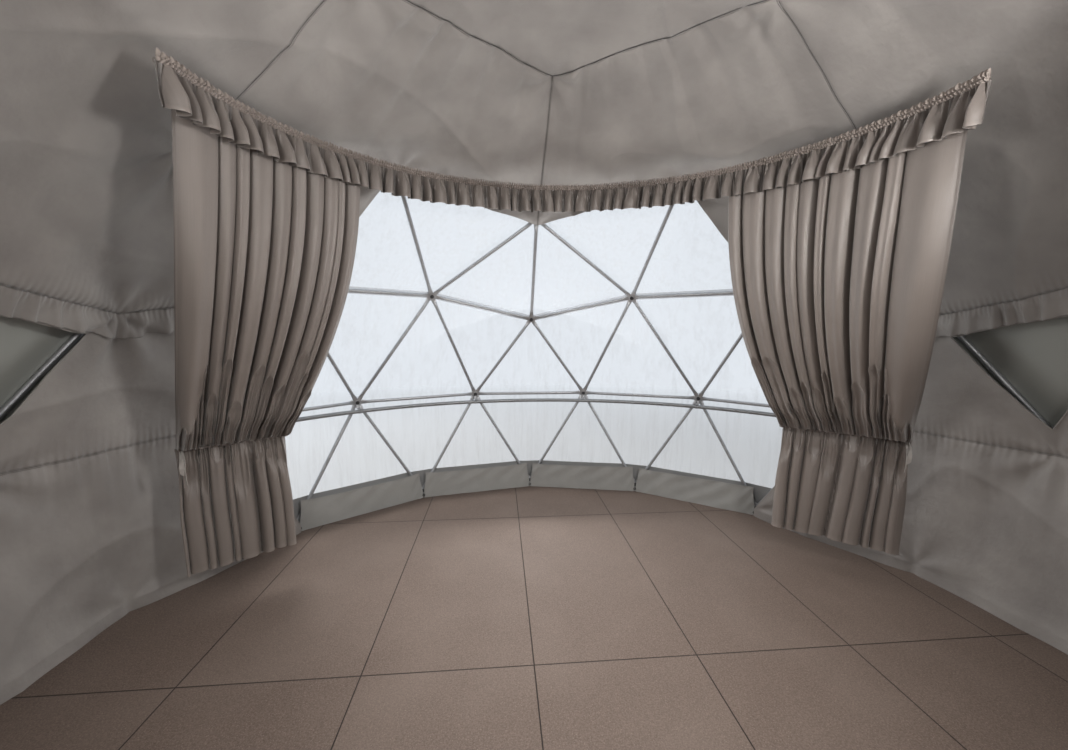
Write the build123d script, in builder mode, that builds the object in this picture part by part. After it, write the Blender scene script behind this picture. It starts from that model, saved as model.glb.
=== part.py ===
import os
from math import asin, atan, cos, degrees, radians, sin, tan

from build123d import *

os.makedirs("parts", exist_ok=True)

# Geodesic glamping dome: three-frequency icosahedral frame with a level belt and base.
# X runs across the window, the window faces -Y, the doorway faces +Y, Z is up.

# Frame
dome_radius = 3000.0            # sphere centre to the middle of each hub
belt_latitude = 10.0            # belt ring stands this far above the centre, base ring below
tube_diameter = 32.0
tube_flat = 7.0                 # thickness of the pressed tube ends
tube_press_length = 90.0        # length over which an end is pressed flat
hub_diameter = 96.0
hub_thickness = 12.0
hub_nut_diameter = 26.0         # nut on the inner face
hub_nut_height = 14.0
hub_set_in = 3.0                # hub plate sits this far inside the tube axes
base_lift = 60.0                # base ring above the finished floor
fit = 0.3                       # running clearance between seated pieces

# Floor
deck_thickness = 50.0
covering_thickness = 10.0
covering_margin = 12.0          # floor covering stops short of the hem

# Cover
cover_thickness = 4.0
cover_clearance = 0.7           # cover stands off the tubes
hem_height = 10.0               # lower edge of the hem above the ground
window_hem_top = 290.0          # opaque band at the foot of the clear window, above the floor

# Liner
liner_depth = 98.0              # liner hangs this far inside the hub centres
liner_thickness = 5.0
vent_band = 0.155               # cloth left above a triangular liner opening, as a share of its panel
vent_edge = 0.04                # cloth left beside the opening's upper corners
vent_foot = 0.085               # and beside its lower corner

# Belt hoop
hoop_diameter = 38.0
hoop_drop = 80.0                # hoop below the belt hubs
hoop_inset = 72.0               # hoop inside the belt hubs
hoop_overrun = 40.0             # hoop past its last clamps
clamp_width = 26.0
clamp_plate = 6.0
clamp_head = 15.0               # clamp starts this far below the hub's middle
clamp_bend = 38.0               # and bends towards the hoop here

# Anchor feet
foot_length = 50.0
foot_width = 80.0
foot_plate = 6.0
foot_lug_drop = 15.0            # lug ends this far below the hub's middle

# Skirt inside the window
skirt_height = 262.0
skirt_top_inset = 28.0          # skirt inside the base hubs at its top
skirt_foot_inset = 64.0
skirt_thickness = 4.0

# Curtains and valance
rail_radius = 1590.0
rail_height = 2280.0            # above the sphere centre
rail_diameter = 20.0
rail_left_span = 88.5           # degrees from the window's middle
rail_right_span = 94.0
rail_tilt = 3.5                 # rail dips towards its ends
bracket_width = 24.0
bracket_thickness = 8.0
bracket_angles = (-64.0, -25.0, 0.0, 25.0, 64.0)  # degrees from the window's middle
valance_drop = 165.0
valance_rise = 20.0
valance_thickness = 36.0
curtain_thickness = 62.0
curtain_inner_edge = 48.0       # degrees from the window's middle
left_outer_edge = 85.0
right_outer_edge = 91.0
tie_height = 480.0              # above the sphere centre
left_tie_radius = 2500.0        # outer end of each tie
left_tie_angle = 69.0
right_tie_radius = 2550.0
right_tie_angle = 72.5
tie_inner_radius = 2250.0
tie_inner_angle = 56.0
tie_thickness = 110.0
tie_band_width = 50.0
tie_band_thickness = 6.0
drape_height = 900.0            # curtain's free part above the tie
drape_outer = 0.42              # how far its outer edge has swung out to the tie there
drape_inner = 0.22
drape_thickness = 100.0
blouse_height = 110.0           # cloth bulges above the tie
blouse_outer = 0.97
blouse_inner = 0.90
blouse_thickness = 180.0
curtain_hem = 236.0             # above the floor
curtain_flare = 30.0            # curtain spreads below the tie

# Doorway
door_width = 900.0
door_height = 1980.0
door_post = 60.0
door_depth = 80.0
door_tie_diameter = 24.0
door_tie_height = 1100.0        # above the floor, on the posts
sill_height = 30.0

# Worked out from the sizes above
floor_top = deck_thickness + covering_thickness
belt_rise = dome_radius * sin(radians(belt_latitude))
centre_height = floor_top + base_lift + belt_rise
centre = Vector(0, 0, centre_height)
cover_inner = dome_radius + tube_diameter / 2 + cover_clearance
cover_outer = cover_inner + cover_thickness
liner_outer = dome_radius - liner_depth
liner_inner = liner_outer - liner_thickness
sides = 15
turn = 360 / sides
front = -90.0
ring_radius = dome_radius * cos(radians(belt_latitude))
door_front = cover_inner * cos(radians(belt_latitude))
door_back = door_front - door_depth
door_top = floor_top + door_height + door_post
door_half = door_width / 2 + door_post
hub_back = hub_thickness / 2 + hub_set_in


def direction(latitude, azimuth):
    """Unit vector from the sphere centre."""
    la, az = radians(latitude), radians(azimuth)
    return Vector(cos(la) * cos(az), cos(la) * sin(az), sin(la))


# Corners of the icosahedron: one at the top and five around it
top = direction(90, 0)
upper_latitude = degrees(atan(0.5))
corners = [direction(upper_latitude, front + 72 * k) for k in range(5)]


def edge_mix(a, b, c, shares):
    """Point of an icosahedron face pushed out to the unit sphere."""
    return (a * shares[0] + b * shares[1] + c * shares[2]).normalized()


row0 = [top]
row1 = []
row2 = []
row3 = []
for k in range(5):
    near, after = corners[k], corners[(k + 1) % 5]
    row1.append(edge_mix(top, near, after, (2, 1, 0)))
    row2.append(edge_mix(top, near, after, (1, 2, 0)))
    row2.append(edge_mix(top, near, after, (1, 1, 1)))
    row3.append(near)
    row3.append(edge_mix(top, near, after, (0, 2, 1)))
    row3.append(edge_mix(top, near, after, (0, 1, 2)))
row4 = [direction(belt_latitude, front + turn * (i + 0.5)) for i in range(sides)]
row5 = [direction(-belt_latitude, front + turn * i) for i in range(sides)]
rows = [row0, row1, row2, row3, row4, row5]
door_node = 7                   # belt hub that the doorway leaves out


def node(row, index):
    """Unit direction of a hub, counted round from the window's middle."""
    return rows[row][index % len(rows[row])]


# Struts as pairs of hubs
crown_pairs = [((0, 0), (1, k)) for k in range(5)] + [((1, k), (1, k + 1)) for k in range(5)]
crown_brace_pairs = []
roof_brace_pairs = []
for k in range(5):
    crown_brace_pairs += [((1, k), (2, 2 * k)), ((1, k), (2, 2 * k + 1)), ((1, k), (2, 2 * k - 1))]
    roof_brace_pairs += [((2, 2 * k), (3, 3 * k + j)) for j in (-1, 0, 1)]
    roof_brace_pairs += [((2, 2 * k + 1), (3, 3 * k + j)) for j in (1, 2)]
roof_ring_pairs = [((2, i), (2, i + 1)) for i in range(10)]
shoulder_pairs = [((3, i), (3, i + 1)) for i in range(sides)]
upper_brace_pairs = []
lower_brace_pairs = []
for i in range(sides):
    if i != door_node:
        upper_brace_pairs += [((3, i), (4, i)), ((3, i + 1), (4, i))]
        lower_brace_pairs += [((4, i), (5, i)), ((4, i), (5, i + 1))]
belt_pairs = [((4, i), (4, i + 1)) for i in range(sides) if i not in (door_node - 1, door_node)]
base_pairs = [((5, i), (5, i + 1)) for i in range(sides) if i != door_node]


bars = {}


def strut(length):
    """Tube of one length, made once."""
    key = round(length, 3)
    if key not in bars:
        bars[key] = pressed_tube(length)
    return bars[key]


def pressed_tube(length):
    """Tube along X, its two ends pressed flat; Z points away from the sphere centre."""
    half = length / 2
    across = tube_diameter / 2
    with BuildPart() as bar:
        with BuildSketch(Plane.YZ):
            RegularPolygon(radius=across, side_count=6, rotation=30)
        extrude(amount=half, both=True)
        with BuildSketch(Plane.XZ):
            with BuildLine():
                Polyline(
                    (half, tube_flat / 2), (half - tube_press_length, across),
                    (-half + tube_press_length, across), (-half, tube_flat / 2),
                    (-half, -tube_flat / 2), (-half + tube_press_length, -across),
                    (half - tube_press_length, -across), (half, -tube_flat / 2),
                    close=True,
                )
            make_face()
        extrude(amount=across, both=True, mode=Mode.INTERSECT)
    return bar.part


def strut_between(pair):
    """Strut from hub to hub, short of the rim of both hub plates by the fit."""
    a, b = node(*pair[0]) * dome_radius, node(*pair[1]) * dome_radius
    chord = (b - a).length
    lean = asin(chord / 2 / dome_radius)
    end_gap = (hub_diameter / 2 + fit) * cos(lean) + hub_back * sin(lean)
    middle = (a + b) * 0.5
    place = Plane(origin=centre + middle, x_dir=b - a, z_dir=middle)
    return place * strut(chord - 2 * end_gap)


# Plate where the pressed ends meet, with the nut of its bolt on the inner face
with BuildPart() as hub_plate:
    with BuildSketch(Plane.XY.offset(-hub_back)):
        RegularPolygon(radius=hub_diameter / 2, side_count=20)
    extrude(amount=hub_thickness)
    with BuildSketch(Plane.XY.offset(-hub_back)):
        RegularPolygon(radius=hub_nut_diameter / 2, side_count=6)
    extrude(amount=-hub_nut_height)


def hub(row, index):
    """Hub plate on the sphere, its nut inwards."""
    out = node(row, index)
    return Plane(origin=centre + out * dome_radius, z_dir=out) * hub_plate.part


def block_between(first, second):
    """Solid with flat sides between two outlines that have the same number of corners."""
    with BuildPart() as block:
        for outline in (first, second):
            with BuildSketch(outline_plane(outline)) as face:
                with BuildLine():
                    Polyline(*[face.workplanes[0].to_local_coords(p) for p in outline], close=True)
                make_face()
        loft(ruled=True)
    return block.part


def outline_plane(outline):
    """Plane through the first three corners of an outline."""
    along, across = outline[1] - outline[0], outline[2] - outline[0]
    return Plane(origin=outline[0], x_dir=along, z_dir=along.cross(across))


def panel(outline, inner, outer):
    """Flat panel with sides that point at the sphere centre; corners are given as unit directions."""
    return block_between([centre + p * inner for p in outline], [centre + p * outer for p in outline])


def drop(a, b, inner, outer, low):
    """Strip that hangs upright from the foot of the panel over a base edge."""
    upper = [centre + a * inner, centre + b * inner, centre + b * outer, centre + a * outer]
    return block_between(upper, [Vector(p.X, p.Y, low) for p in upper])


def roof_triangles(k):
    """Five panels of one fifth of the roof band, from the left-hand corner round."""
    return [
        (node(2, 2 * k), node(3, 3 * k), node(3, 3 * k + 1)),
        (node(2, 2 * k), node(3, 3 * k + 1), node(2, 2 * k + 1)),
        (node(2, 2 * k + 1), node(3, 3 * k + 1), node(3, 3 * k + 2)),
        (node(2, 2 * k + 1), node(3, 3 * k + 2), node(2, 2 * k + 2)),
        (node(2, 2 * k + 2), node(3, 3 * k + 2), node(3, 3 * k + 3)),
    ]


def upper_up(i):
    return (node(3, i), node(4, i - 1), node(4, i))


def upper_down(i):
    return (node(3, i), node(4, i), node(3, i + 1))


def lower_up(i):
    return (node(4, i), node(5, i), node(5, i + 1))


def lower_down(i):
    return (node(4, i - 1), node(5, i), node(4, i))


crown_panels = [(node(0, 0), node(1, k), node(1, k + 1)) for k in range(5)]
for k in range(5):
    crown_panels += [
        (node(1, k), node(2, 2 * k + 1), node(1, k + 1)),
        (node(1, k), node(2, 2 * k), node(2, 2 * k + 1)),
        (node(1, k), node(2, 2 * k - 1), node(2, 2 * k)),
    ]
left_panels = roof_triangles(0)[3:] + roof_triangles(1)[:2]
left_panels += [upper_down(2), upper_up(3), upper_down(3), upper_up(4)]
left_panels += [lower_up(2), lower_down(3), lower_up(3), lower_down(4)]
back_left_panels = roof_triangles(1)[2:] + roof_triangles(2)[:2]
back_left_panels += [upper_down(4), upper_up(5), upper_down(5), upper_up(6), upper_down(6)]
back_left_panels += [lower_up(4), lower_down(5), lower_up(5), lower_down(6), lower_up(6)]
left_edges = [2, 3]
back_left_edges = [4, 5, 6]
window_edges = [-2, -1, 0, 1]
window_upper = roof_triangles(0)[:3] + roof_triangles(4)[2:]
window_middle = [upper_up(i) for i in range(-2, 3)] + [upper_down(i) for i in window_edges]
window_lower = [lower_down(i) for i in range(-2, 3)] + [lower_up(i) for i in window_edges]
brow_panel = roof_triangles(2)[2]
vent_panel = upper_down(3)


def shell(panels, edges, inner, outer, low):
    """Panels and the strips that hang below them, as separate solids ready to be joined."""
    pieces = [panel(p, inner, outer) for p in panels]
    pieces += [drop(node(5, i), node(5, i + 1), inner, outer, low) for i in edges]
    return pieces


def door_panels(front_y, half, top_z, foot_z, scale):
    """Panels from the hexagon round the left-out hub to the door frame."""
    def corner(x, z):
        return (Vector(x, front_y, z) - centre) / scale

    panels = [(node(3, 7), corner(half, top_z), corner(-half, top_z), node(3, 8))]
    for side, high, middle, low in ((1, node(3, 7), node(4, 6), node(5, 7)),
                                    (-1, node(3, 8), node(4, 8), node(5, 8))):
        top_corner, foot_corner = corner(side * half, top_z), corner(side * half, foot_z)
        panels.append((high, middle, top_corner))
        panels.append((middle, foot_corner, top_corner))
        panels.append((middle, low, foot_corner))
    return panels


def mirrored(part):
    return part.mirror(Plane.YZ)


def arc_band(plane, radius_in, radius_out, start, end):
    """Sketch of a band of a ring between two azimuths."""
    middle = (start + end) / 2

    def at(radius, azimuth):
        return (radius * cos(radians(azimuth)), radius * sin(radians(azimuth)))

    with BuildSketch(plane) as sketch:
        with BuildLine():
            ThreePointArc(at(radius_in, start), at(radius_in, middle), at(radius_in, end))
            Line(at(radius_in, end), at(radius_out, end))
            ThreePointArc(at(radius_out, end), at(radius_out, middle), at(radius_out, start))
            Line(at(radius_out, start), at(radius_in, start))
        make_face()
    return sketch.sketch


# Floor deck, with a threshold under the door frame
deck_radius = door_front - fit / cos(radians(turn / 2))
with BuildPart() as floor_deck:
    with BuildSketch():
        with Locations(Rotation(0, 0, front)):
            RegularPolygon(radius=deck_radius, side_count=sides)
        with Locations((0, door_back)):
            Rectangle(2 * door_half, 2 * door_depth - 2 * fit)
    extrude(amount=deck_thickness)

# Floor covering, stopping at the hem and at the door frame
with BuildPart() as floor_covering:
    with BuildSketch(Plane.XY.offset(deck_thickness)):
        with Locations(Rotation(0, 0, front)):
            RegularPolygon(radius=deck_radius - covering_margin, side_count=sides)
        with Locations((0, door_back + door_depth)):
            Rectangle(2 * door_half + 2 * fit, 2 * door_depth + 2 * fit, mode=Mode.SUBTRACT)
    extrude(amount=covering_thickness)

# Frame tubes, ring by ring
with BuildPart() as crown_struts:
    add([strut_between(pair) for pair in crown_pairs])
with BuildPart() as crown_brace_struts:
    add([strut_between(pair) for pair in crown_brace_pairs])
with BuildPart() as roof_ring_struts:
    add([strut_between(pair) for pair in roof_ring_pairs])
with BuildPart() as roof_brace_struts:
    add([strut_between(pair) for pair in roof_brace_pairs])
with BuildPart() as shoulder_struts:
    add([strut_between(pair) for pair in shoulder_pairs])
with BuildPart() as upper_brace_struts:
    add([strut_between(pair) for pair in upper_brace_pairs])
with BuildPart() as belt_struts:
    add([strut_between(pair) for pair in belt_pairs])
with BuildPart() as lower_brace_struts:
    add([strut_between(pair) for pair in lower_brace_pairs])
with BuildPart() as base_ring_struts:
    add([strut_between(pair) for pair in base_pairs])

# Hubs, row by row
with BuildPart() as crown_hubs:
    add([hub(0, 0)] + [hub(1, k) for k in range(5)])
with BuildPart() as roof_hubs:
    add([hub(2, i) for i in range(10)])
with BuildPart() as shoulder_hubs:
    add([hub(3, i) for i in range(sides)])
with BuildPart() as belt_hubs:
    add([hub(4, i) for i in range(sides) if i != door_node])
with BuildPart() as base_hubs:
    add([hub(5, i) for i in range(sides)])

# Anchor feet: a plate on the floor and a lug against the inside of each base hub, below its nut
belt_slope = tan(radians(belt_latitude))
lug_top = base_lift - foot_lug_drop
lug_face = ring_radius - hub_back / cos(radians(belt_latitude)) - fit
lug_reach = lug_face - foot_lug_drop * belt_slope
with BuildPart() as anchor_foot:
    with BuildSketch(Plane.XZ):
        with BuildLine():
            Polyline(
                (lug_face - foot_length, floor_top), (lug_face - base_lift * belt_slope, floor_top),
                (lug_reach, floor_top + lug_top), (lug_reach - foot_plate, floor_top + lug_top),
                (lug_face - base_lift * belt_slope - foot_plate, floor_top + foot_plate),
                (lug_face - foot_length, floor_top + foot_plate), close=True,
            )
        make_face()
    extrude(amount=foot_width / 2, both=True)
with BuildPart() as anchor_feet:
    add([anchor_foot.part.rotate(Axis.Z, front + turn * i) for i in range(sides)])

# Belt hoop, bent tube inside the belt hubs, open at the doorway
hoop_radius = ring_radius - hoop_inset
hoop_height = centre_height + belt_rise - hoop_drop
hoop_gap = turn - degrees(hoop_overrun / hoop_radius)
with BuildPart() as stiffening_hoop:
    with BuildSketch(Plane.XZ):
        with Locations((hoop_radius, hoop_height)):
            RegularPolygon(radius=hoop_diameter / 2, side_count=8)
    revolve(axis=Axis.Z, revolution_arc=360 - 2 * hoop_gap)
stiffening_hoop.part = stiffening_hoop.part.rotate(Axis.Z, -front + hoop_gap)

# Clamps that hold the hoop to the belt hubs
clamp_face = ring_radius - hub_back - fit
clamp_shelf = hoop_height + hoop_diameter / 2 + fit
belt_height = centre_height + belt_rise
with BuildPart() as hoop_clamp:
    with BuildSketch(Plane.XZ):
        with BuildLine():
            Polyline(
                (clamp_face + clamp_head * belt_slope, belt_height - clamp_head),
                (clamp_face + clamp_bend * belt_slope, belt_height - clamp_bend),
                (clamp_face - clamp_plate, clamp_shelf),
                (hoop_radius - hoop_diameter / 2, clamp_shelf),
                (hoop_radius - hoop_diameter / 2, clamp_shelf + clamp_plate),
                (clamp_face - 2 * clamp_plate, clamp_shelf + clamp_plate),
                (clamp_face + clamp_head * belt_slope - clamp_plate, belt_height - clamp_head),
                close=True,
            )
        make_face()
    extrude(amount=clamp_width / 2, both=True)
with BuildPart() as hoop_clamps:
    turns = [front + turn * (i + 0.5) for i in range(sides) if i != door_node]
    add([hoop_clamp.part.rotate(Axis.Z, angle) for angle in turns])

# Cover: faceted shells over the frame, with a hem that hangs over the edge of the deck
with BuildPart() as cover_crown:
    add([panel(p, cover_inner, cover_outer) for p in crown_panels])
with BuildPart() as cover_left:
    add(shell(left_panels, left_edges, cover_inner, cover_outer, hem_height))
with BuildPart() as cover_back_left:
    add(shell(back_left_panels, back_left_edges, cover_inner, cover_outer, hem_height))
with BuildPart() as cover_right:
    add(mirrored(cover_left.part))
with BuildPart() as cover_back_right:
    add(mirrored(cover_back_left.part))
with BuildPart() as cover_doorway:
    add(panel(brow_panel, cover_inner, cover_outer))
    add([panel(p, cover_inner, cover_outer)
         for p in door_panels(door_front, door_half + fit, door_top + fit, floor_top, cover_inner)])

# Clear window film in three rows, and the opaque band at its foot
window_split = Plane.XY.offset(floor_top + window_hem_top)
with BuildPart() as window_film_upper:
    add([panel(p, cover_inner, cover_outer) for p in window_upper])
with BuildPart() as window_film_middle:
    add([panel(p, cover_inner, cover_outer) for p in window_middle])
window_row = shell(window_lower, window_edges, cover_inner, cover_outer, hem_height)
with BuildPart() as window_film_lower:
    add(window_row)
    split(bisect_by=window_split, keep=Keep.TOP)
with BuildPart() as window_hem:
    add(window_row)
    split(bisect_by=window_split, keep=Keep.BOTTOM)

# Skirt inside the foot of the window
skirt_pieces = []
for i in window_edges:
    ends = [node(5, i), node(5, i + 1)]
    plan = [Vector(e.X, e.Y, 0).normalized() for e in ends]
    levels = []
    for inset, height in ((skirt_foot_inset, floor_top + fit), (skirt_top_inset, floor_top + skirt_height)):
        near = [p * (ring_radius - inset - skirt_thickness) + Vector(0, 0, height) for p in plan]
        far = [p * (ring_radius - inset) + Vector(0, 0, height) for p in plan]
        levels.append([near[0], near[1], far[1], far[0]])
    skirt_pieces.append(block_between(*levels))
with BuildPart() as window_skirt:
    add(skirt_pieces)

# Inner liner, hung inside the frame, open at the window, the doorway and two side vents
with BuildPart() as liner_crown:
    add([panel(p, liner_inner, liner_outer) for p in crown_panels])
vent_shares = [
    (1 - vent_band - vent_edge, vent_band, vent_edge),
    (vent_foot, 1 - 2 * vent_foot, vent_foot),
    (vent_edge, vent_band, 1 - vent_band - vent_edge),
]
vent_outline = [vent_panel[0] * a + vent_panel[1] * b + vent_panel[2] * c for a, b, c in vent_shares]
with BuildPart() as liner_left:
    add(shell(left_panels, left_edges, liner_inner, liner_outer, floor_top + fit))
    add(panel(vent_outline, liner_inner - liner_depth, dome_radius), mode=Mode.SUBTRACT)
with BuildPart() as liner_back_left:
    add(shell(back_left_panels, back_left_edges, liner_inner, liner_outer, floor_top + fit))
with BuildPart() as liner_right:
    add(mirrored(liner_left.part))
with BuildPart() as liner_back_right:
    add(mirrored(liner_back_left.part))
with BuildPart() as liner_doorway:
    add(panel(brow_panel, liner_inner, liner_outer))
    add([panel(p, liner_inner, liner_outer)
         for p in door_panels(door_back - fit, door_half, door_top, floor_top + fit, liner_outer)])

# Curtain rail, highest over the window's middle
rail_z = centre_height + rail_height
rail_lean = Pos(0, -rail_radius, rail_z) * Rot(-rail_tilt, 0, 0) * Pos(0, rail_radius, -rail_z)


def leaned(plane):
    """Plane that tilts with the rail."""
    return Plane(rail_lean * plane.location)


with BuildPart() as curtain_rail:
    with BuildSketch(Plane.XZ):
        with Locations((rail_radius, rail_z)):
            RegularPolygon(radius=rail_diameter / 2, side_count=8)
    revolve(axis=Axis.Z, revolution_arc=rail_left_span + rail_right_span)
curtain_rail.part = rail_lean * curtain_rail.part.rotate(Axis.Z, front - rail_right_span)

# Valance: gathered band against the front of the rail
valance_back = rail_radius - rail_diameter / 2 - fit
with BuildPart() as valance:
    add(arc_band(Plane.XY.offset(rail_z - valance_drop), valance_back - valance_thickness, valance_back,
                 front - rail_right_span, front + rail_left_span))
    extrude(amount=valance_drop + valance_rise)
valance.part = rail_lean * valance.part


# Where a curtain's two edges are on the rail and at the tie, in plan, on the left
curtain_middle = valance_back + fit + curtain_thickness / 2
curtain_top = rail_z - rail_diameter / 2 - fit
tie_z = centre_height + tie_height


def curtain_ends(outer_edge, tie_radius, tie_angle):
    """Outer and inner edge on the rail, then at the tie."""
    return (
        direction(0, front + outer_edge) * curtain_middle,
        direction(0, front + curtain_inner_edge) * curtain_middle,
        direction(0, front + tie_angle) * tie_radius,
        direction(0, front + tie_inner_angle) * tie_inner_radius,
    )


def cloth_section(ends, height, thickness, outer_share=1.0, inner_share=1.0, grow=0.0):
    """Band of folded curtain, its edges moved by their shares from the rail to the tie."""
    rail_outer, rail_inner, tie_outer, tie_inner = ends
    outer_end = rail_outer + (tie_outer - rail_outer) * outer_share
    inner_end = rail_inner + (tie_inner - rail_inner) * inner_share
    along = (inner_end - outer_end).normalized()
    across = Vector(along.Y, -along.X, 0) * (thickness / 2 + grow)
    outer_end, inner_end = outer_end - along * grow, inner_end + along * grow
    band = [outer_end - across, inner_end - across, inner_end + across, outer_end + across]
    with BuildSketch(Plane.XY.offset(height)) as sketch:
        with BuildLine():
            Polyline(*[(p.X, p.Y) for p in band], close=True)
        make_face()
    return sketch.sketch


def hung_curtain(outer_edge, ends):
    """Curtain gathered on the rail, bulging over the tie and spreading to the hem."""
    drape = cloth_section(ends, tie_z + drape_height, drape_thickness, drape_outer, drape_inner)
    blouse = cloth_section(ends, tie_z + blouse_height, blouse_thickness, blouse_outer, blouse_inner)
    neck = cloth_section(ends, tie_z - tie_band_width / 2, tie_thickness)
    with BuildPart() as cloth:
        add(arc_band(leaned(Plane.XY.offset(curtain_top)), valance_back + fit,
                     valance_back + fit + curtain_thickness, front + outer_edge, front + curtain_inner_edge))
        add(drape)
        loft()
        add(drape)
        add(blouse)
        loft(ruled=True)
        add(blouse)
        add(cloth_section(ends, tie_z + tie_band_width / 2, tie_thickness))
        loft(ruled=True)
        add(neck)
        extrude(amount=tie_band_width)
        add(neck)
        add(cloth_section(ends, floor_top + curtain_hem, tie_thickness, grow=curtain_flare))
        loft(ruled=True)
    return cloth.part


def tie_band(ends):
    """Band round the gathered curtain."""
    with BuildPart() as band:
        for grow, mode in ((tie_band_thickness + fit, Mode.ADD), (fit, Mode.SUBTRACT)):
            with BuildSketch(Plane.XY.offset(tie_z - tie_band_width / 2)):
                add(cloth_section(ends, 0, tie_thickness))
                offset(amount=grow, kind=Kind.ARC)
            extrude(amount=tie_band_width, mode=mode)
    return band.part


left_ends = curtain_ends(left_outer_edge, left_tie_radius, left_tie_angle)
right_ends = curtain_ends(right_outer_edge, right_tie_radius, right_tie_angle)
with BuildPart() as curtain_left:
    add(hung_curtain(left_outer_edge, left_ends))
with BuildPart() as curtain_right:
    add(mirrored(hung_curtain(right_outer_edge, right_ends)))
with BuildPart() as tiebacks:
    add([tie_band(left_ends), mirrored(tie_band(right_ends))])

# Brackets from the liner to the curtain rail
with BuildPart() as rail_brackets:
    for angle in bracket_angles:
        out = direction(0, front + angle)
        with BuildSketch(leaned(Plane(
            origin=out * (rail_radius + rail_diameter / 2 + fit) + Vector(0, 0, rail_z),
            x_dir=direction(0, front + angle + 90),
            z_dir=out,
        ))):
            Rectangle(bracket_width, bracket_thickness)
        extrude(until=Until.NEXT, target=liner_crown.part)

# Door frame
with BuildPart() as door_frame:
    with BuildSketch(Plane.XZ.offset(-door_front)):
        with Locations((0, (deck_thickness + door_top) / 2)):
            Rectangle(2 * door_half, door_top - deck_thickness)
        with Locations((0, floor_top + door_height / 2 + sill_height / 2)):
            Rectangle(door_width, door_height - sill_height, mode=Mode.SUBTRACT)
    extrude(amount=door_depth)

# Short tubes from the nearest belt hubs to the door posts
with BuildPart() as door_ties:
    for side, hub_index in ((1, door_node - 1), (-1, door_node + 1)):
        start = centre + node(4, hub_index) * dome_radius
        end = Vector(side * (door_half + fit), (door_front + door_back) / 2, floor_top + door_tie_height)
        run = (end - start).normalized()
        with BuildSketch(Plane(origin=start + run * (hub_diameter / 2 + tube_flat), z_dir=run)):
            RegularPolygon(radius=door_tie_diameter / 2, side_count=6)
        extrude(until=Until.NEXT, target=door_frame.part)

pieces = {
    "floor_deck": floor_deck, "floor_covering": floor_covering,
    "crown_struts": crown_struts, "crown_brace_struts": crown_brace_struts,
    "roof_ring_struts": roof_ring_struts, "roof_brace_struts": roof_brace_struts,
    "shoulder_struts": shoulder_struts, "upper_brace_struts": upper_brace_struts,
    "belt_struts": belt_struts, "lower_brace_struts": lower_brace_struts,
    "base_ring_struts": base_ring_struts, "crown_hubs": crown_hubs, "roof_hubs": roof_hubs,
    "shoulder_hubs": shoulder_hubs, "belt_hubs": belt_hubs, "base_hubs": base_hubs,
    "anchor_feet": anchor_feet, "stiffening_hoop": stiffening_hoop, "hoop_clamps": hoop_clamps,
    "cover_crown": cover_crown, "cover_left": cover_left, "cover_back_left": cover_back_left,
    "cover_right": cover_right, "cover_back_right": cover_back_right,
    "cover_doorway": cover_doorway, "window_film_upper": window_film_upper,
    "window_film_middle": window_film_middle, "window_film_lower": window_film_lower,
    "window_hem": window_hem, "window_skirt": window_skirt, "liner_crown": liner_crown,
    "liner_left": liner_left, "liner_back_left": liner_back_left, "liner_right": liner_right,
    "liner_back_right": liner_back_right, "liner_doorway": liner_doorway,
    "curtain_rail": curtain_rail, "valance": valance, "curtain_left": curtain_left,
    "curtain_right": curtain_right, "door_frame": door_frame, "tiebacks": tiebacks,
    "rail_brackets": rail_brackets, "door_ties": door_ties,
}
for label, piece in pieces.items():
    piece.part.label = label
    export_step(piece.part, f"parts/{label}.step")
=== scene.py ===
import math
from contextlib import contextmanager

import bmesh
import bpy
import numpy as np
from mathutils import Matrix, Vector


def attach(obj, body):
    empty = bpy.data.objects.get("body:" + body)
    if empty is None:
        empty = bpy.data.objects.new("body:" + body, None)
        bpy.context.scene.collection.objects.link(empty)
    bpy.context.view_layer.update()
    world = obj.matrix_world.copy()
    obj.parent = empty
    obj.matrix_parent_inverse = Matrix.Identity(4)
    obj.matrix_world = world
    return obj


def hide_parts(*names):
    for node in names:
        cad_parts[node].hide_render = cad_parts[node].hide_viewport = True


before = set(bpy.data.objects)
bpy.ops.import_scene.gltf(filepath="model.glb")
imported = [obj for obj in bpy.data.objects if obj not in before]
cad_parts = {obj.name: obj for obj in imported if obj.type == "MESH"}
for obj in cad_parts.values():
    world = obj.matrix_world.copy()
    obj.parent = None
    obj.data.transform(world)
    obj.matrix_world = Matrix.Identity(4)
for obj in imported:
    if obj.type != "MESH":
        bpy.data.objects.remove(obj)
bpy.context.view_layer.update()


def deselectAll():
    if bpy.context.object and bpy.context.object.mode != "OBJECT":
        bpy.ops.object.mode_set(mode="OBJECT")
    bpy.ops.object.select_all(action="DESELECT")


def pick(obj):
    deselectAll()
    obj.select_set(True)
    bpy.context.view_layer.objects.active = obj
    return obj


# edit mode with the whole mesh selected
@contextmanager
def editing(obj):
    pick(obj)
    bpy.ops.object.mode_set(mode="EDIT")
    bpy.ops.mesh.select_all(action="SELECT")
    yield
    bpy.ops.object.mode_set(mode="OBJECT")


def placeInMesh(obj):
    pick(obj)
    bpy.ops.object.transform_apply(location=True, rotation=True, scale=True)
    return obj


def joinAs(name, objs):
    deselectAll()
    for o in objs:
        o.select_set(True)
    bpy.context.view_layer.objects.active = objs[0]
    bpy.ops.object.join()
    joined = bpy.context.view_layer.objects.active
    joined.name = joined.data.name = name
    return placeInMesh(joined)


def applyModifiers(obj):
    pick(obj)
    for m in list(obj.modifiers):
        bpy.ops.object.modifier_apply(modifier=m.name)
    return obj


def smooth(obj, angle=35):
    pick(obj)
    bpy.ops.object.shade_smooth_by_angle(angle=math.radians(angle))
    return obj


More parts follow.
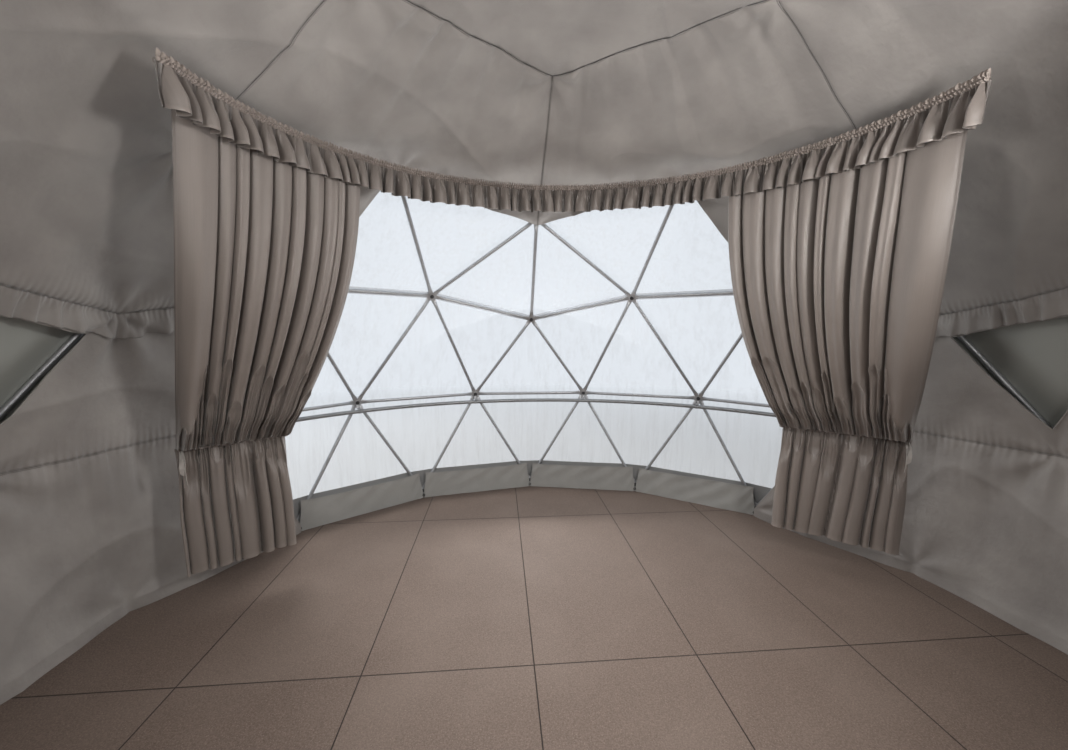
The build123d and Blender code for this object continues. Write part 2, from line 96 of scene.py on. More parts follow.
def addObject(name, data):
    obj = bpy.data.objects.new(name, data)
    bpy.context.collection.objects.link(obj)
    return obj


def addMesh(name, points, faces):
    mesh = bpy.data.meshes.new(name)
    mesh.from_pydata([tuple(p) for p in points], [], faces)
    return addObject(name, mesh)


# faces of a grid of points listed row by row; a closed one joins its last column to its first
def gridFaces(rowCount, width, closed=False):
    return [(r * width + c, r * width + (c + 1) % width, (r + 1) * width + (c + 1) % width, (r + 1) * width + c)
            for r in range(rowCount - 1) for c in range(width if closed else width - 1)]


# a sheet whose places come from a function of u along its columns and v along its levels
def sheetFrom(name, shape, columns, levels):
    u, v = (grid.ravel() for grid in np.meshgrid(columns, levels))
    return addMesh(name, shape(u, v), gridFaces(len(levels), len(columns))), u, v


def mirrorX(obj):
    obj.data.transform(Matrix.Scale(-1, 4, (1, 0, 0)))


def finishPiece(obj, nodes, material):
    obj.data.materials.clear()
    obj.data.materials.append(material)
    if nodes:
        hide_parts(*nodes)
    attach(obj, "root")
    return obj


def vertexPlaces(obj):
    co = np.zeros(len(obj.data.vertices) * 3)
    obj.data.vertices.foreach_get("co", co)
    return co.reshape(-1, 3)


def setVertexPlaces(obj, places):
    obj.data.vertices.foreach_set("co", np.asarray(places, np.float32).ravel())
    obj.data.update()


def pointValue(obj, name, values):
    layer = obj.data.attributes.get(name) or obj.data.attributes.new(name, "FLOAT", "POINT")
    layer.data.foreach_set("value", (np.zeros(len(obj.data.vertices)) + values).astype(np.float32))


def uvFromPoints(obj, u, v):
    layer = obj.data.uv_layers.get("cloth") or obj.data.uv_layers.new(name="cloth")
    index = np.zeros(len(obj.data.loops), np.int32)
    obj.data.loops.foreach_get("vertex_index", index)
    layer.data.foreach_set("uv", np.stack([u[index], v[index]], 1).astype(np.float32).ravel())


# gives a sheet its thickness and returns the area that it had flat
def thicken(obj, thickness, angle=60):
    area = sum(p.area for p in obj.data.polygons)
    thick = obj.modifiers.new("cloth", "SOLIDIFY")
    thick.thickness, thick.offset = thickness, 0
    smooth(applyModifiers(obj), angle)
    return area


def softStep(low, high, x):
    t = np.clip((x - low) / (high - low), 0, 1)
    return t * t * (3 - 2 * t)


def hump(x, width):
    return np.exp(-(x / width) ** 2)


def wander(x, y=0.0, z=0.0, seed=0):
    rng = np.random.default_rng(seed)
    total = 0
    for octave in range(5):
        k = rng.normal(size=3)
        k = k / np.linalg.norm(k) * (1.0 + 0.55 * octave)
        total = total + np.sin(k[0] * x + k[1] * y + k[2] * z + rng.uniform(0, 6.28)) / (1 + 0.4 * octave)
    return total / 2.4


# an operator or method of Wire that adds one Math node
def mathsNode(operation, swapped=False):
    def method(wire, other=0.0):
        first, second = (other, wire) if swapped else (wire, other)
        return wire.nodes.add("ShaderNodeMath", {"operation": operation}, {0: first, 1: second})

    return method


# one output socket, so that maths on masks can be written as expressions
class Wire:
    def __init__(self, nodes, socket):
        self.nodes, self.socket = nodes, socket

    __add__, __radd__ = mathsNode("ADD"), mathsNode("ADD", True)
    __sub__, __rsub__ = mathsNode("SUBTRACT"), mathsNode("SUBTRACT", True)
    __mul__, __rmul__ = mathsNode("MULTIPLY"), mathsNode("MULTIPLY", True)
    least, most = mathsNode("MINIMUM"), mathsNode("MAXIMUM")
    sine, root = mathsNode("SINE"), mathsNode("SQRT")
    whole, fraction, size = mathsNode("FLOOR"), mathsNode("FRACT"), mathsNode("ABSOLUTE")

    # 0 below low, 1 above high
    def between(self, low, high):
        return self.nodes.add("ShaderNodeMapRange", {"clamp": True}, {"Value": self, "From Min": low, "From Max": high})


class Nodes:
    def __init__(self, tree):
        self.tree = tree

    def put(self, socket, value):
        if isinstance(value, Wire):
            self.tree.links.new(value.socket, socket)
        else:
            socket.default_value = value

    # any node: its settings first, then values or links of its sockets
    def add(self, kind, settings=None, inputs=None, output=0):
        node = self.tree.nodes.new(kind)
        for key, value in (settings or {}).items():
            setattr(node, key, value)
        for socket, value in (inputs or {}).items():
            self.put(node.inputs[socket], value)
        return Wire(self, node.outputs[output])

    def split(self, vector):
        return [self.add("ShaderNodeSeparateXYZ", {}, {0: vector}, axis) for axis in range(3)]

    def mapped(self, coordinates, scale):
        stretch = scale if isinstance(scale, tuple) else (scale,) * 3
        return self.add("ShaderNodeMapping", {}, {"Vector": coordinates, "Scale": stretch})

    def places(self, scale=1.0):
        return self.mapped(self.add("ShaderNodeTexCoord", output="Object"), scale)

    def cloth(self, scale=1.0):
        return self.mapped(self.add("ShaderNodeUVMap", {"uv_map": "cloth"}), scale)

    def attribute(self, name):
        return self.add("ShaderNodeAttribute", {"attribute_name": name}, output="Fac")

    def noise(self, vector, scale, detail=3.0, roughness=0.55):
        values = {"Vector": vector, "Scale": scale, "Detail": detail, "Roughness": roughness}
        return self.add("ShaderNodeTexNoise", {}, values)

    # a Mix node's sockets 6 and 7 and its output 2 are the colours
    def blend(self, factor, first, second):
        ends = [colour if isinstance(colour, Wire) else (*colour, 1) for colour in (first, second)]
        return self.add("ShaderNodeMix", {"data_type": "RGBA"}, {0: factor, 6: ends[0], 7: ends[1]}, 2)


class Finish(Nodes):
    def __init__(self, name, **constants):
        self.material = bpy.data.materials.new(name)
        self.material.use_nodes = True
        super().__init__(self.material.node_tree)
        self.shader = next(n for n in self.tree.nodes if n.type == "BSDF_PRINCIPLED")
        self.feed(**constants)

    def feed(self, **values):
        for socket, value in values.items():
            self.put(self.shader.inputs[socket.replace("_", " ")], value)
        return self

    def raised(self, height, distance=0.001, strength=1.0):
        values = {"Height": height, "Distance": distance, "Strength": strength}
        return self.feed(Normal=self.add("ShaderNodeBump", {}, values))


def toned(colour, factor):
    return tuple(factor * c for c in colour)


# one fine noise turns the colour from low to high, roughens the surface and raises it
def grainy(name, scale, detail, low, high, roughness, rise, **constants):
    f = Finish(name, **constants)
    grain = f.noise(f.places(), scale, detail)
    f.feed(Base_Color=f.blend(grain, low, high), Roughness=grain * roughness[0] + roughness[1])
    return f.raised(grain, rise).material


def galvanisedSteel(name, base, roughness):
    f = Finish(name, Metallic=0.75)
    places = f.places()
    spangle = f.add("ShaderNodeTexVoronoi", {}, {"Vector": places, "Scale": 140.0}, "Color")
    grain, stain = f.noise(places, 420.0, 2.0), f.noise(places, 9.0, 4.0)
    tone = f.blend(f.split(spangle)[0] * 0.6, toned(base, 0.88), toned(base, 1.1))
    tone = f.blend(stain.between(0.55, 0.75) * 0.35, tone, toned(base, 0.72))
    f.feed(Base_Color=tone, Roughness=grain * 0.12 + roughness)
    return f.raised(grain + stain, 0.0004, 0.6).material


# fine crossed threads, in threads to the metre
def weave(f, places, across, along):
    x, y, _ = f.split(places)
    return (x * (across * 6.283)).sine() * (y * (along * 6.283)).sine()


linerLook = {"colour": (0.375, 0.35, 0.33), "shade": (0.275, 0.255, 0.241), "seamShade": (0.12, 0.108, 0.10),
             "roughness": 0.42}


def linerCloth():
    f = Finish("linerCloth", Sheen_Weight=0.35, Sheen_Roughness=0.35, Specular_IOR_Level=0.6)
    cloth, places = f.cloth(), f.places()
    crease, fine = f.noise(places, 3.2, 5.0, 0.5), f.noise(places, 38.0, 3.0)
    seam, u = f.attribute("seam"), f.split(cloth)[0]
    pleat = ((u * 190.0 + crease * 9.0).sine() + (u * 73.0 + crease * 14.0).sine() * 0.8) * f.attribute("gather")
    # painted shade: the cloth darkens where the crease noise is low, the same noise that lowers the bump
    tone = f.blend(crease.between(0.35, 0.7), linerLook["shade"], linerLook["colour"])
    # a row of stitching 7 mm from each seam, and a dark line on the seam itself that is painted shadow of the seam
    stitch = (1 - (seam - 0.007).size().between(0.0008, 0.0026)) * 0.55 + (1 - seam.between(0.0005, 0.003)) * 0.8
    tone = f.blend(stitch.least(0.85), tone, linerLook["seamShade"])
    f.feed(Base_Color=tone, Roughness=fine * 0.18 + linerLook["roughness"])
    height = crease * 2.0 + fine * 0.22 + weave(f, cloth, 420, 420) * 0.03 + pleat * 0.35 - stitch * 0.5
    return f.raised(height, 0.009, 0.9).material


curtainLook = {"colour": (0.275, 0.238, 0.215), "shade": (0.20, 0.172, 0.155), "roughness": 0.34}


def curtainSatin(name="curtainSatin", lighter=1.0, gloss=0.85):
    f = Finish(name, Sheen_Weight=0.5, Sheen_Roughness=0.3, Specular_IOR_Level=gloss)
    streaks, slubs = f.noise(f.cloth((260, 3, 1)), 1.0, 4.0, 0.7), f.noise(f.cloth((12, 420, 1)), 1.0, 2.0)
    broad, hem = f.noise(f.places(), 2.4, 3.0), f.attribute("hem")
    low, high = (toned(curtainLook[k], lighter) for k in ("shade", "colour"))
    tone = f.blend((streaks * 0.6 + broad * 0.5).between(0.3, 0.8), low, high)
    tone = f.blend(hem * 0.4, tone, toned(high, 1.25))
    tone = f.blend(f.attribute("hollow") * 0.8, tone, toned(low, 0.25))  # painted shade: the colour darkens deep in the fold gaps and crease dents, where shadow falls
    f.feed(Base_Color=tone, Roughness=streaks * 0.16 + curtainLook["roughness"])
    height = streaks * 0.5 + slubs * 0.25 + weave(f, f.cloth(), 700, 500) * 0.12 + hem * 0.8
    return f.raised(height, 0.0012, 0.7).material


coverLook = {"colour": (0.80, 0.79, 0.75), "shade": (0.72, 0.71, 0.67), "dust": (0.50, 0.47, 0.42),
             "weldTone": (0.66, 0.65, 0.62), "weldWidth": 0.022, "innerFace": (0.36, 0.37, 0.345)}


def coverMembrane():
    f = Finish("coverMembrane", Sheen_Weight=0.05)
    places, weld, wide = f.places(), f.attribute("weld"), coverLook["weldWidth"]
    fine, broad = f.noise(places, 260.0, 2.0), f.noise(places, 1.6, 5.0)
    strip = 1 - weld.between(wide - 0.0015, wide)
    stitch = 1 - (weld - wide * 0.85).size().between(0.0008, 0.002)
    dust = (1 - f.split(places)[2].between(0.02, 0.9)) * broad
    tone = f.blend(broad.between(0.3, 0.75), coverLook["shade"], coverLook["colour"])
    tone = f.blend(dust * 0.6, tone, coverLook["dust"])
    tone = f.blend(strip * 0.35, tone, coverLook["weldTone"])
    tone = f.blend(f.attribute("innerFace"), tone, coverLook["innerFace"])  # the inner face, towards the dome's middle, is darker and greyer
    f.feed(Base_Color=tone, Roughness=fine * 0.15 + 0.42)
    return f.raised(fine * 0.15 + broad * 1.2 + strip * 0.5 - stitch * 0.2, 0.0025, 0.8).material


filmLook = {"colour": (0.93, 0.96, 0.98), "bandColour": (0.80, 0.83, 0.87), "alpha": 0.05, "tapeWidth": 0.034,
            "weldWidth": 0.012}


def clearFilm():
    f = Finish("clearWindowFilm", IOR=1.45)
    places, tape, wide = f.places(), f.attribute("tape"), filmLook["tapeWidth"]
    drops, broad = f.noise(places, 210.0, 2.0, 0.7), f.noise(places, 1.3, 3.0)
    streaks = f.noise(f.places((14, 14, 0.9)), 1.0, 4.0, 0.6)
    band = 1 - tape.between(wide - 0.001, wide)
    lines = (1 - ((tape * (1 / wide) * 3.0).fraction() - 0.5).size().between(0.03, 0.1)) * band
    edge = 1 - f.attribute("weld").between(filmLook["weldWidth"] - 0.001, filmLook["weldWidth"])
    mist = streaks.between(0.45, 0.8) * 0.09 + drops.between(0.58, 0.72) * broad.between(0.4, 0.7) * 0.16
    alpha = mist + filmLook["alpha"] + band * 0.32 + edge * 0.2 + lines * 0.2
    sewn = (band + edge).least(1.0)
    f.feed(Base_Color=f.blend(sewn, filmLook["colour"], filmLook["bandColour"]), Alpha=alpha.least(1.0),
           Roughness=sewn * 0.22 + mist * 1.2 + 0.04)
    return f.raised(broad * 2.0 + streaks * 0.5 + band * 0.6, 0.004, 0.5).material


hemLook = {"colour": (0.36, 0.365, 0.365), "shade": (0.28, 0.285, 0.29)}


def hemMembrane():
    f = Finish("hemMembrane")
    places = f.places()
    fine, broad = f.noise(places, 240.0, 2.0), f.noise(places, 4.0, 5.0)
    f.feed(Base_Color=f.blend(broad, hemLook["shade"], hemLook["colour"]), Roughness=fine * 0.2 + 0.45)
    return f.raised(fine * 0.2 + broad * 1.5, 0.002, 0.8).material


skirtLook = {"colour": (0.46, 0.46, 0.44), "shade": (0.34, 0.34, 0.33)}


def skirtCloth():
    f = Finish("skirtCloth", Sheen_Weight=0.15)
    places, hem = f.places(), f.attribute("hem")
    fine, broad = f.noise(places, 60.0, 3.0), f.noise(places, 6.0, 5.0)
    tone = f.blend(broad, skirtLook["shade"], skirtLook["colour"])
    f.feed(Base_Color=f.blend(hem * 0.35, tone, skirtLook["shade"]), Roughness=fine * 0.2 + 0.6)
    height = broad * 1.6 + fine * 0.3 + weave(f, f.cloth(), 420, 420) * 0.05 + hem * 0.4
    return f.raised(height, 0.004, 0.8).material


floorLook = {"tile": (0.91, 1.82), "offset": (0.813, 0.137), "joint": 0.004, "colour": (0.26, 0.197, 0.163),
             "dark": (0.12, 0.086, 0.069), "fleck": (0.42, 0.34, 0.29), "worn": (0.33, 0.265, 0.225),
             "jointTone": (0.035, 0.026, 0.022)}


def floorTiles():
    f = Finish("floorTiles")
    places, size = f.places(), floorLook["tile"]
    cells = [axis * (1 / wide) + shift for axis, wide, shift in zip(f.split(places), size, floorLook["offset"])]
    shares = [c.fraction() for c in cells]
    edges = [share.least(1 - share) * wide for share, wide in zip(shares, size)]
    joint = 1 - edges[0].least(edges[1]).between(floorLook["joint"] * 0.5, floorLook["joint"])
    tile = f.add("ShaderNodeCombineXYZ", {}, {0: cells[0].whole(), 1: cells[1].whole()})
    cell = f.add("ShaderNodeTexWhiteNoise", {"noise_dimensions": "2D"}, {"Vector": tile})
    speck, worn = f.noise(places, 130.0, 4.0, 0.8), f.noise(places, 1.7, 5.0)
    fleck = f.add("ShaderNodeTexVoronoi", {}, {"Vector": places, "Scale": 95.0})
    tone = f.blend(speck.between(0.35, 0.65), floorLook["dark"], floorLook["colour"])
    tone = f.blend((1 - fleck.between(0.12, 0.22)) * 0.55, tone, floorLook["fleck"])
    tone = f.blend(worn.between(0.45, 0.75) * 0.22 + cell * 0.12, tone, floorLook["worn"])
    f.feed(Base_Color=f.blend(joint, tone, floorLook["jointTone"]), Roughness=speck * 0.2 + 0.62)
    return f.raised(speck * 0.6 + fleck * 0.4 - joint * 3.0, 0.0012, 0.8).material


deckLook = {"board": 0.14, "colour": (0.36, 0.25, 0.17), "dark": (0.20, 0.13, 0.085), "gap": (0.03, 0.025, 0.02)}


def deckBoards():
    f = Finish("deckBoards")
    board = (f.split(f.places())[0] * (1 / deckLook["board"])).fraction()
    gap = 1 - board.least(1 - board).between(0.01, 0.03)
    grain = f.noise(f.places((30, 1.6, 30)), 1.0, 6.0, 0.6)
    waves = {"Vector": f.places((9, 0.5, 9)), "Scale": 1.0, "Distortion": 6.0, "Detail": 3.0}
    ring = f.add("ShaderNodeTexWave", {"bands_direction": "X"}, waves, "Fac")
    tone = f.blend(grain * 0.6 + ring * 0.4, deckLook["dark"], deckLook["colour"])
    f.feed(Base_Color=f.blend(gap, tone, deckLook["gap"]), Roughness=grain * 0.25 + 0.5)
    return f.raised(grain + ring * 0.5 - gap * 2.0, 0.0015, 0.7).material


def satinPaint(name, colour):
    f = Finish(name, Metallic=0.1, Coat_Weight=0.2, Coat_Roughness=0.3)
    places = f.places()
    peel, broad = f.noise(places, 380.0, 2.0), f.noise(places, 5.0, 4.0)
    f.feed(Base_Color=f.blend(broad * 0.5, colour, toned(colour, 0.82)), Roughness=peel * 0.1 + 0.4)
    return f.raised(peel, 0.0003, 0.5).material


def tapeCloth():
    f = Finish("tieTape", Sheen_Weight=0.2)
    rib, broad = (f.split(f.cloth())[0] * 2600.0).sine(), f.noise(f.places(), 22.0, 3.0)
    f.feed(Base_Color=f.blend(broad, (0.48, 0.45, 0.42), (0.60, 0.57, 0.54)), Roughness=broad * 0.2 + 0.6)
    return f.raised(rib * 0.3 + broad, 0.0008).material


steel = galvanisedSteel("galvanisedTube", (0.56, 0.57, 0.59), 0.42)
hoopSteel = galvanisedSteel("darkerTube", (0.36, 0.37, 0.38), 0.4)
boltSteel = grainy("darkBoltSteel", 160.0, 3.0, (0.05, 0.05, 0.055), (0.16, 0.16, 0.165), (0.3, 0.3), 0.0003,
                   Metallic=0.8)
liner = linerCloth()
curtain = curtainSatin()
valanceCloth = curtainSatin("valanceSatin", 0.8)
headingCloth = curtainSatin("headingSatin", 1.2, 0.1)
membrane = coverMembrane()
film = clearFilm()
hemBand = hemMembrane()
skirt = skirtCloth()
tiles = floorTiles()
boards = deckBoards()
doorPaint = satinPaint("doorPaint", (0.42, 0.42, 0.41))
railPaint = satinPaint("railPaint", (0.22, 0.20, 0.185))
tape = tapeCloth()
welt = grainy("weltCord", 240.0, 2.0, (0.045, 0.042, 0.042), (0.10, 0.095, 0.09), (0.2, 0.6), 0.0006)
print("materials ready")

# the dome's hubs as directions from its middle, row by row from the top, counted round from the window
dome = {"radius": 3.0, "beltLatitude": 10.0, "sides": 15, "floorTop": 0.06, "baseLift": 0.06}
beltRise = dome["radius"] * math.sin(math.radians(dome["beltLatitude"]))
ringRadius = dome["radius"] * math.cos(math.radians(dome["beltLatitude"]))
middle = np.array([0, 0, dome["floorTop"] + dome["baseLift"] + beltRise])
turn, around, doorHub = 360 / dome["sides"], range(dome["sides"]), 7
beltRow = [i for i in around if i != doorHub]  # this hub is left out for the doorway
upright, level = np.array([0.0, 0.0, 1.0]), np.array([1, 1, 0])


def direction(latitude, azimuth):
    la, az = math.radians(latitude), math.radians(azimuth)
    return np.array([math.cos(la) * math.cos(az), math.cos(la) * math.sin(az), math.sin(la)])


def unit(v):
    return v / np.linalg.norm(v)


# unit directions of points from the dome's middle
def outwards(points):
    out = np.asarray(points) - middle
    return out / np.linalg.norm(out, axis=1)[:, None]


def azimuthOf(points):
    return np.arctan2(points[:, 1], points[:, 0])


top = direction(90, 0)
corners = [direction(math.degrees(math.atan(0.5)), -90 + 72 * k) for k in range(5)]
rows = [[top], [], [], [], [], []]
for k in range(5):
    near, after = corners[k], corners[(k + 1) % 5]
    rows[1].append(unit(2 * top + near))
    rows[2] += [unit(top + 2 * near), unit(top + near + after)]
    rows[3] += [near, unit(2 * near + after), unit(near + 2 * after)]
rows[4] = [direction(dome["beltLatitude"], -90 + turn * (i + 0.5)) for i in around]
rows[5] = [direction(-dome["beltLatitude"], -90 + turn * i) for i in around]


def hub(row, index):
    return rows[row][index % len(rows[row])]


def hubPlace(spot, radius):
    return middle + hub(*spot) * radius


# a hub's row and its number, counted within the row
def counted(spot):
    return spot[0], spot[1] % len(rows[spot[0]])


# from the +X axis to the base hub of that number
def turnedTo(i):
    return Matrix.Rotation(math.radians(-90 + turn * i), 4, "Z")


strutRows = {
    "crown_struts": [((0, 0), (1, k)) for k in range(5)] + [((1, k), (1, k + 1)) for k in range(5)],
    "crown_brace_struts": [((1, k), (2, 2 * k + j)) for k in range(5) for j in (-1, 0, 1)],
    "roof_ring_struts": [((2, i), (2, i + 1)) for i in range(10)],
    "roof_brace_struts": [((2, 2 * k), (3, 3 * k + j)) for k in range(5) for j in (-1, 0, 1)]
    + [((2, 2 * k + 1), (3, 3 * k + j)) for k in range(5) for j in (1, 2)],
    "shoulder_struts": [((3, i), (3, i + 1)) for i in around],
    "upper_brace_struts": [((3, i + j), (4, i)) for i in beltRow for j in (0, 1)],
    "belt_struts": [((4, i), (4, i + 1)) for i in beltRow if i + 1 != doorHub],
    "lower_brace_struts": [((4, i), (5, i + j)) for i in beltRow for j in (0, 1)],
    "base_ring_struts": [((5, i), (5, i + 1)) for i in beltRow]}
hubRows = {"crown_hubs": [(0, 0)] + [(1, k) for k in range(5)], "roof_hubs": [(2, i) for i in range(10)],
           "shoulder_hubs": [(3, i) for i in around], "belt_hubs": [(4, i) for i in beltRow],
           "base_hubs": [(5, i) for i in around]}

tube = {"radius": 0.016, "flat": 0.0042, "flatWide": 1.28, "press": 0.115, "tab": 0.056, "past": 0.018, "round": 14}
# how far from a tube's end it is cut across, and how flat it is pressed there
tubeCuts = [(0.0, 1.0), (0.030, 1.0), (0.052, 1.0), (0.062, 1.0), (0.080, 0.86), (0.098, 0.5),
            (tube["press"], 0.14), (tube["press"] + 0.02, 0.0)]


# a straight tube along X with both ends pressed flat
def modelTube(length, radius):
    deselectAll()
    bpy.ops.mesh.primitive_cylinder_add(vertices=tube["round"], radius=radius, depth=length,
                                        rotation=(0, math.pi / 2, 0))
    obj = placeInMesh(bpy.context.object)
    with editing(obj):
        for side in (1, -1):
            for back, press in tubeCuts[1:]:
                bpy.ops.mesh.select_all(action="SELECT")
                bpy.ops.mesh.bisect(plane_co=(side * (length / 2 - back), 0, 0), plane_no=(1, 0, 0))
            for back, press in tubeCuts:
                cut = side * (length / 2 - back)
                mesh = bmesh.from_edit_mesh(obj.data)
                for v in mesh.verts:
                    v.select = bool(abs(v.co.x - cut) < 1e-4)
                mesh.select_flush_mode()
                bmesh.update_edit_mesh(obj.data)
                wide, thin = 1 + press * (tube["flatWide"] - 1), 1 + press * (tube["flat"] / 2 / radius - 1)
                bpy.ops.transform.resize(value=(1, wide, thin), center_override=(cut, 0, 0))
    return obj


# the flat tabs lie in their hub's tangent plane, stacked on one bolt
def bendTabs(places, half, lean, offsets):
    for side, offset in zip((-1, 1), offsets):
        back = half - side * places[:, 0]
        reach = np.clip(tube["tab"] + 0.014 - back, 0, None)
        ramp = softStep(tube["press"] + 0.01, tube["tab"], back)
        places[:, 2] += offset * ramp - np.tan(lean) * reach
    return places


# axes from a rod's direction x and a second direction z
def matrixOf(x, z, origin):
    m = Matrix.Identity(4)
    for column, axis in enumerate((x, np.cross(z, x), z, origin)):
        for i in range(3):
            m[i][column] = axis[i]
    return m


def copyOf(obj, name):
    return addObject(name, obj.data.copy())


hubUse, tubeStock = {}, {}  # tubes so far at each hub, and one tube of each length
for node, pairs in strutRows.items():
    pieces = []
    for first, second in pairs:
        a, b = hub(*first) * dome["radius"], hub(*second) * dome["radius"]
        chord = np.linalg.norm(b - a)
        key = round(chord, 4)
        if key not in tubeStock:
            tubeStock[key] = modelTube(chord + 2 * tube["past"], tube["radius"])
        piece = copyOf(tubeStock[key], node)
        offsets = []
        for spot in map(counted, (first, second)):
            hubUse[spot] = hubUse.get(spot, 0) + 1
            offsets.append((hubUse[spot] - 3.5) * tube["flat"] + 0.004)
        lean = math.asin(chord / 2 / dome["radius"])
        setVertexPlaces(piece, bendTabs(vertexPlaces(piece), chord / 2 + tube["past"], lean, offsets))
        piece.data.transform(matrixOf(unit(b - a), unit(a + b), middle + (a + b) / 2))
        pieces.append(piece)
    struts = smooth(joinAs("tubes_" + node.replace("_struts", ""), pieces), 40)
    finishPiece(struts, [node], steel)
for stock in tubeStock.values():
    bpy.data.objects.remove(stock)
print("tubes ready")

# sides, radius, and from where to where along the bolt, outwards: nut, washer, shank, washer, head
boltStack = [(6, 0.0125, -0.0285, -0.0175), (18, 0.019, -0.0175, -0.0148), (10, 0.0062, -0.034, 0.0),
             (18, 0.019, 0.0045, 0.0065), (6, 0.012, 0.0065, 0.0125)]
boltInset, boltEdge = 0.0055, 0.0009


def bevelled(obj, width, segments, angle=None):
    bevel = obj.modifiers.new("edges", "BEVEL")
    bevel.width, bevel.segments = width, segments
    if angle:
        bevel.limit_method, bevel.angle_limit = "ANGLE", math.radians(angle)
    return applyModifiers(obj)


def modelBolt():
    parts = []
    for count, radius, low, high in boltStack:
        place = (0, 0, (low + high) / 2)
        bpy.ops.mesh.primitive_cylinder_add(vertices=count, radius=radius, depth=high - low, location=place)
        parts.append(bpy.context.object)
    return bevelled(joinAs("hubBolt", parts), boltEdge, 1)


stockBolt = modelBolt()
for node, spots in hubRows.items():
    pieces = []
    for spot in spots:
        z = hub(*spot)
        x = unit(np.cross(z, (0.31, 0.57, 0.76) if abs(z[2]) > 0.9 else upright))
        pieces.append(copyOf(stockBolt, node))
        pieces[-1].data.transform(matrixOf(x, z, middle + z * (dome["radius"] - boltInset)))
    bolted = smooth(joinAs("bolts_" + node.replace("_hubs", ""), pieces), 30)
    finishPiece(bolted, [node], boltSteel)
bpy.data.objects.remove(stockBolt)
print("hub bolts ready")


# a CAD node's own shape, merged, with its edges eased
def easedCopy(node, name, width, segments=2):
    obj = copyOf(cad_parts[node], name)
    with editing(obj):
        bpy.ops.mesh.remove_doubles(threshold=0.0001)
        bpy.ops.mesh.dissolve_limited(angle_limit=math.radians(1))
    return smooth(bevelled(obj, width, segments, 30), 35)


hoop = {"radius": 0.019, "inset": 0.072, "drop": 0.080, "overrun": 0.040, "steps": 132, "round": 14,
        "clampRing": 0.0026, "clampHalf": 0.008}
hoopRadius = ringRadius - hoop["inset"]
hoopHeight = middle[2] + beltRise - hoop["drop"]


# a circle spun about the dome's upright axis between two azimuths
def spunTube(name, radius, ring, height, start, end, steps, sides):
    deselectAll()
    bpy.ops.mesh.primitive_circle_add(vertices=sides, radius=radius, location=(ring, 0, height),
                                      rotation=(math.pi / 2, 0, 0))
    obj = placeInMesh(bpy.context.object)
    with editing(obj):
        bpy.ops.mesh.spin(steps=steps, angle=math.radians(end - start), center=(0, 0, height), axis=(0, 0, 1))
        mesh = bmesh.from_edit_mesh(obj.data)
        bmesh.ops.remove_doubles(mesh, verts=mesh.verts, dist=1e-5)
        bmesh.ops.holes_fill(mesh, edges=[e for e in mesh.edges if e.is_boundary])
        bmesh.ops.recalc_face_normals(mesh, faces=mesh.faces)
        bmesh.update_edit_mesh(obj.data)
    step = (end - start) / steps
    forwards = np.any(np.abs(np.degrees(azimuthOf(vertexPlaces(obj))) - step) < step * 0.3)  # which way the spin went
    obj.data.transform(Matrix.Rotation(math.radians(start if forwards else end), 4, "Z"))
    obj.name = name
    return smooth(obj, 40)


hoopGap = turn - math.degrees(hoop["overrun"] / hoopRadius)
belt = spunTube("beltHoop", hoop["radius"], hoopRadius, hoopHeight, 90 + hoopGap, 450 - hoopGap, hoop["steps"],
                hoop["round"])
finishPiece(belt, ["stiffening_hoop"], hoopSteel)


# a ring of round section, laid in its mesh by a matrix
def ringAt(matrix, radius, section, segments, sides):
    bpy.ops.mesh.primitive_torus_add(major_segments=segments, minor_segments=sides, major_radius=radius,
                                     minor_radius=section)
    bpy.context.object.data.transform(matrix)
    return bpy.context.object


clamps = [easedCopy("hoop_clamps", "clampPlates", 0.0015)]
for i in beltRow:
    spun = turnedTo(i + 0.5)
    for slide in (-hoop["clampHalf"], hoop["clampHalf"]):
        laid = Matrix.Translation((hoopRadius, slide, hoopHeight)) @ Matrix.Rotation(math.pi / 2, 4, "X")
        clamps.append(ringAt(spun @ laid, hoop["radius"] + hoop["clampRing"], hoop["clampRing"], 18, 6))
finishPiece(smooth(joinAs("hoopClamps", clamps), 35), ["hoop_clamps"], steel)

anchor = {"boltHalf": 0.024, "boltInset": 0.042, "boltRadius": 0.009, "boltDepth": 0.008, "boltRise": 0.010}
feet = [easedCopy("anchor_feet", "footPlates", 0.0018)]
for i in around:
    for side in (-anchor["boltHalf"], anchor["boltHalf"]):
        place = (ringRadius - anchor["boltInset"], side, dome["floorTop"] + anchor["boltRise"])
        bpy.ops.mesh.primitive_cylinder_add(vertices=6, radius=anchor["boltRadius"], depth=anchor["boltDepth"],
                                            location=place)
        head = placeInMesh(bpy.context.object)
        head.data.transform(turnedTo(i))
        feet.append(head)
finishPiece(smooth(joinAs("anchorFeet", feet), 35), ["anchor_feet"], steel)

finishPiece(easedCopy("door_frame", "doorFrame", 0.005, 3), ["door_frame"], doorPaint)
door = {"half": 0.51, "front": 2.9709, "depth": 0.08, "tieRadius": 0.012, "tieHeight": 1.10, "top": 2.10}
tieRods = []
for side, index in ((1, doorHub - 1), (-1, doorHub + 1)):
    start = hubPlace((4, index), dome["radius"])
    end = np.array([side * (door["half"] - 0.004), door["front"] - door["depth"] / 2,
                    dome["floorTop"] + door["tieHeight"]])
    x = unit(end - start)
    rod = modelTube(np.linalg.norm(end - start) + 0.02, door["tieRadius"])
    rod.data.transform(matrixOf(x, unit(np.cross(x, upright)), (start + end) / 2 - x * 0.012))
    tieRods.append(rod)
finishPiece(smooth(joinAs("doorTies", tieRods), 40), ["door_ties"], steel)
finishPiece(easedCopy("floor_deck", "floorDeck", 0.004), ["floor_deck"], boards)
finishPiece(easedCopy("floor_covering", "floorCovering", 0.002), ["floor_covering"], tiles)
print("hoop, feet, door and floor ready")


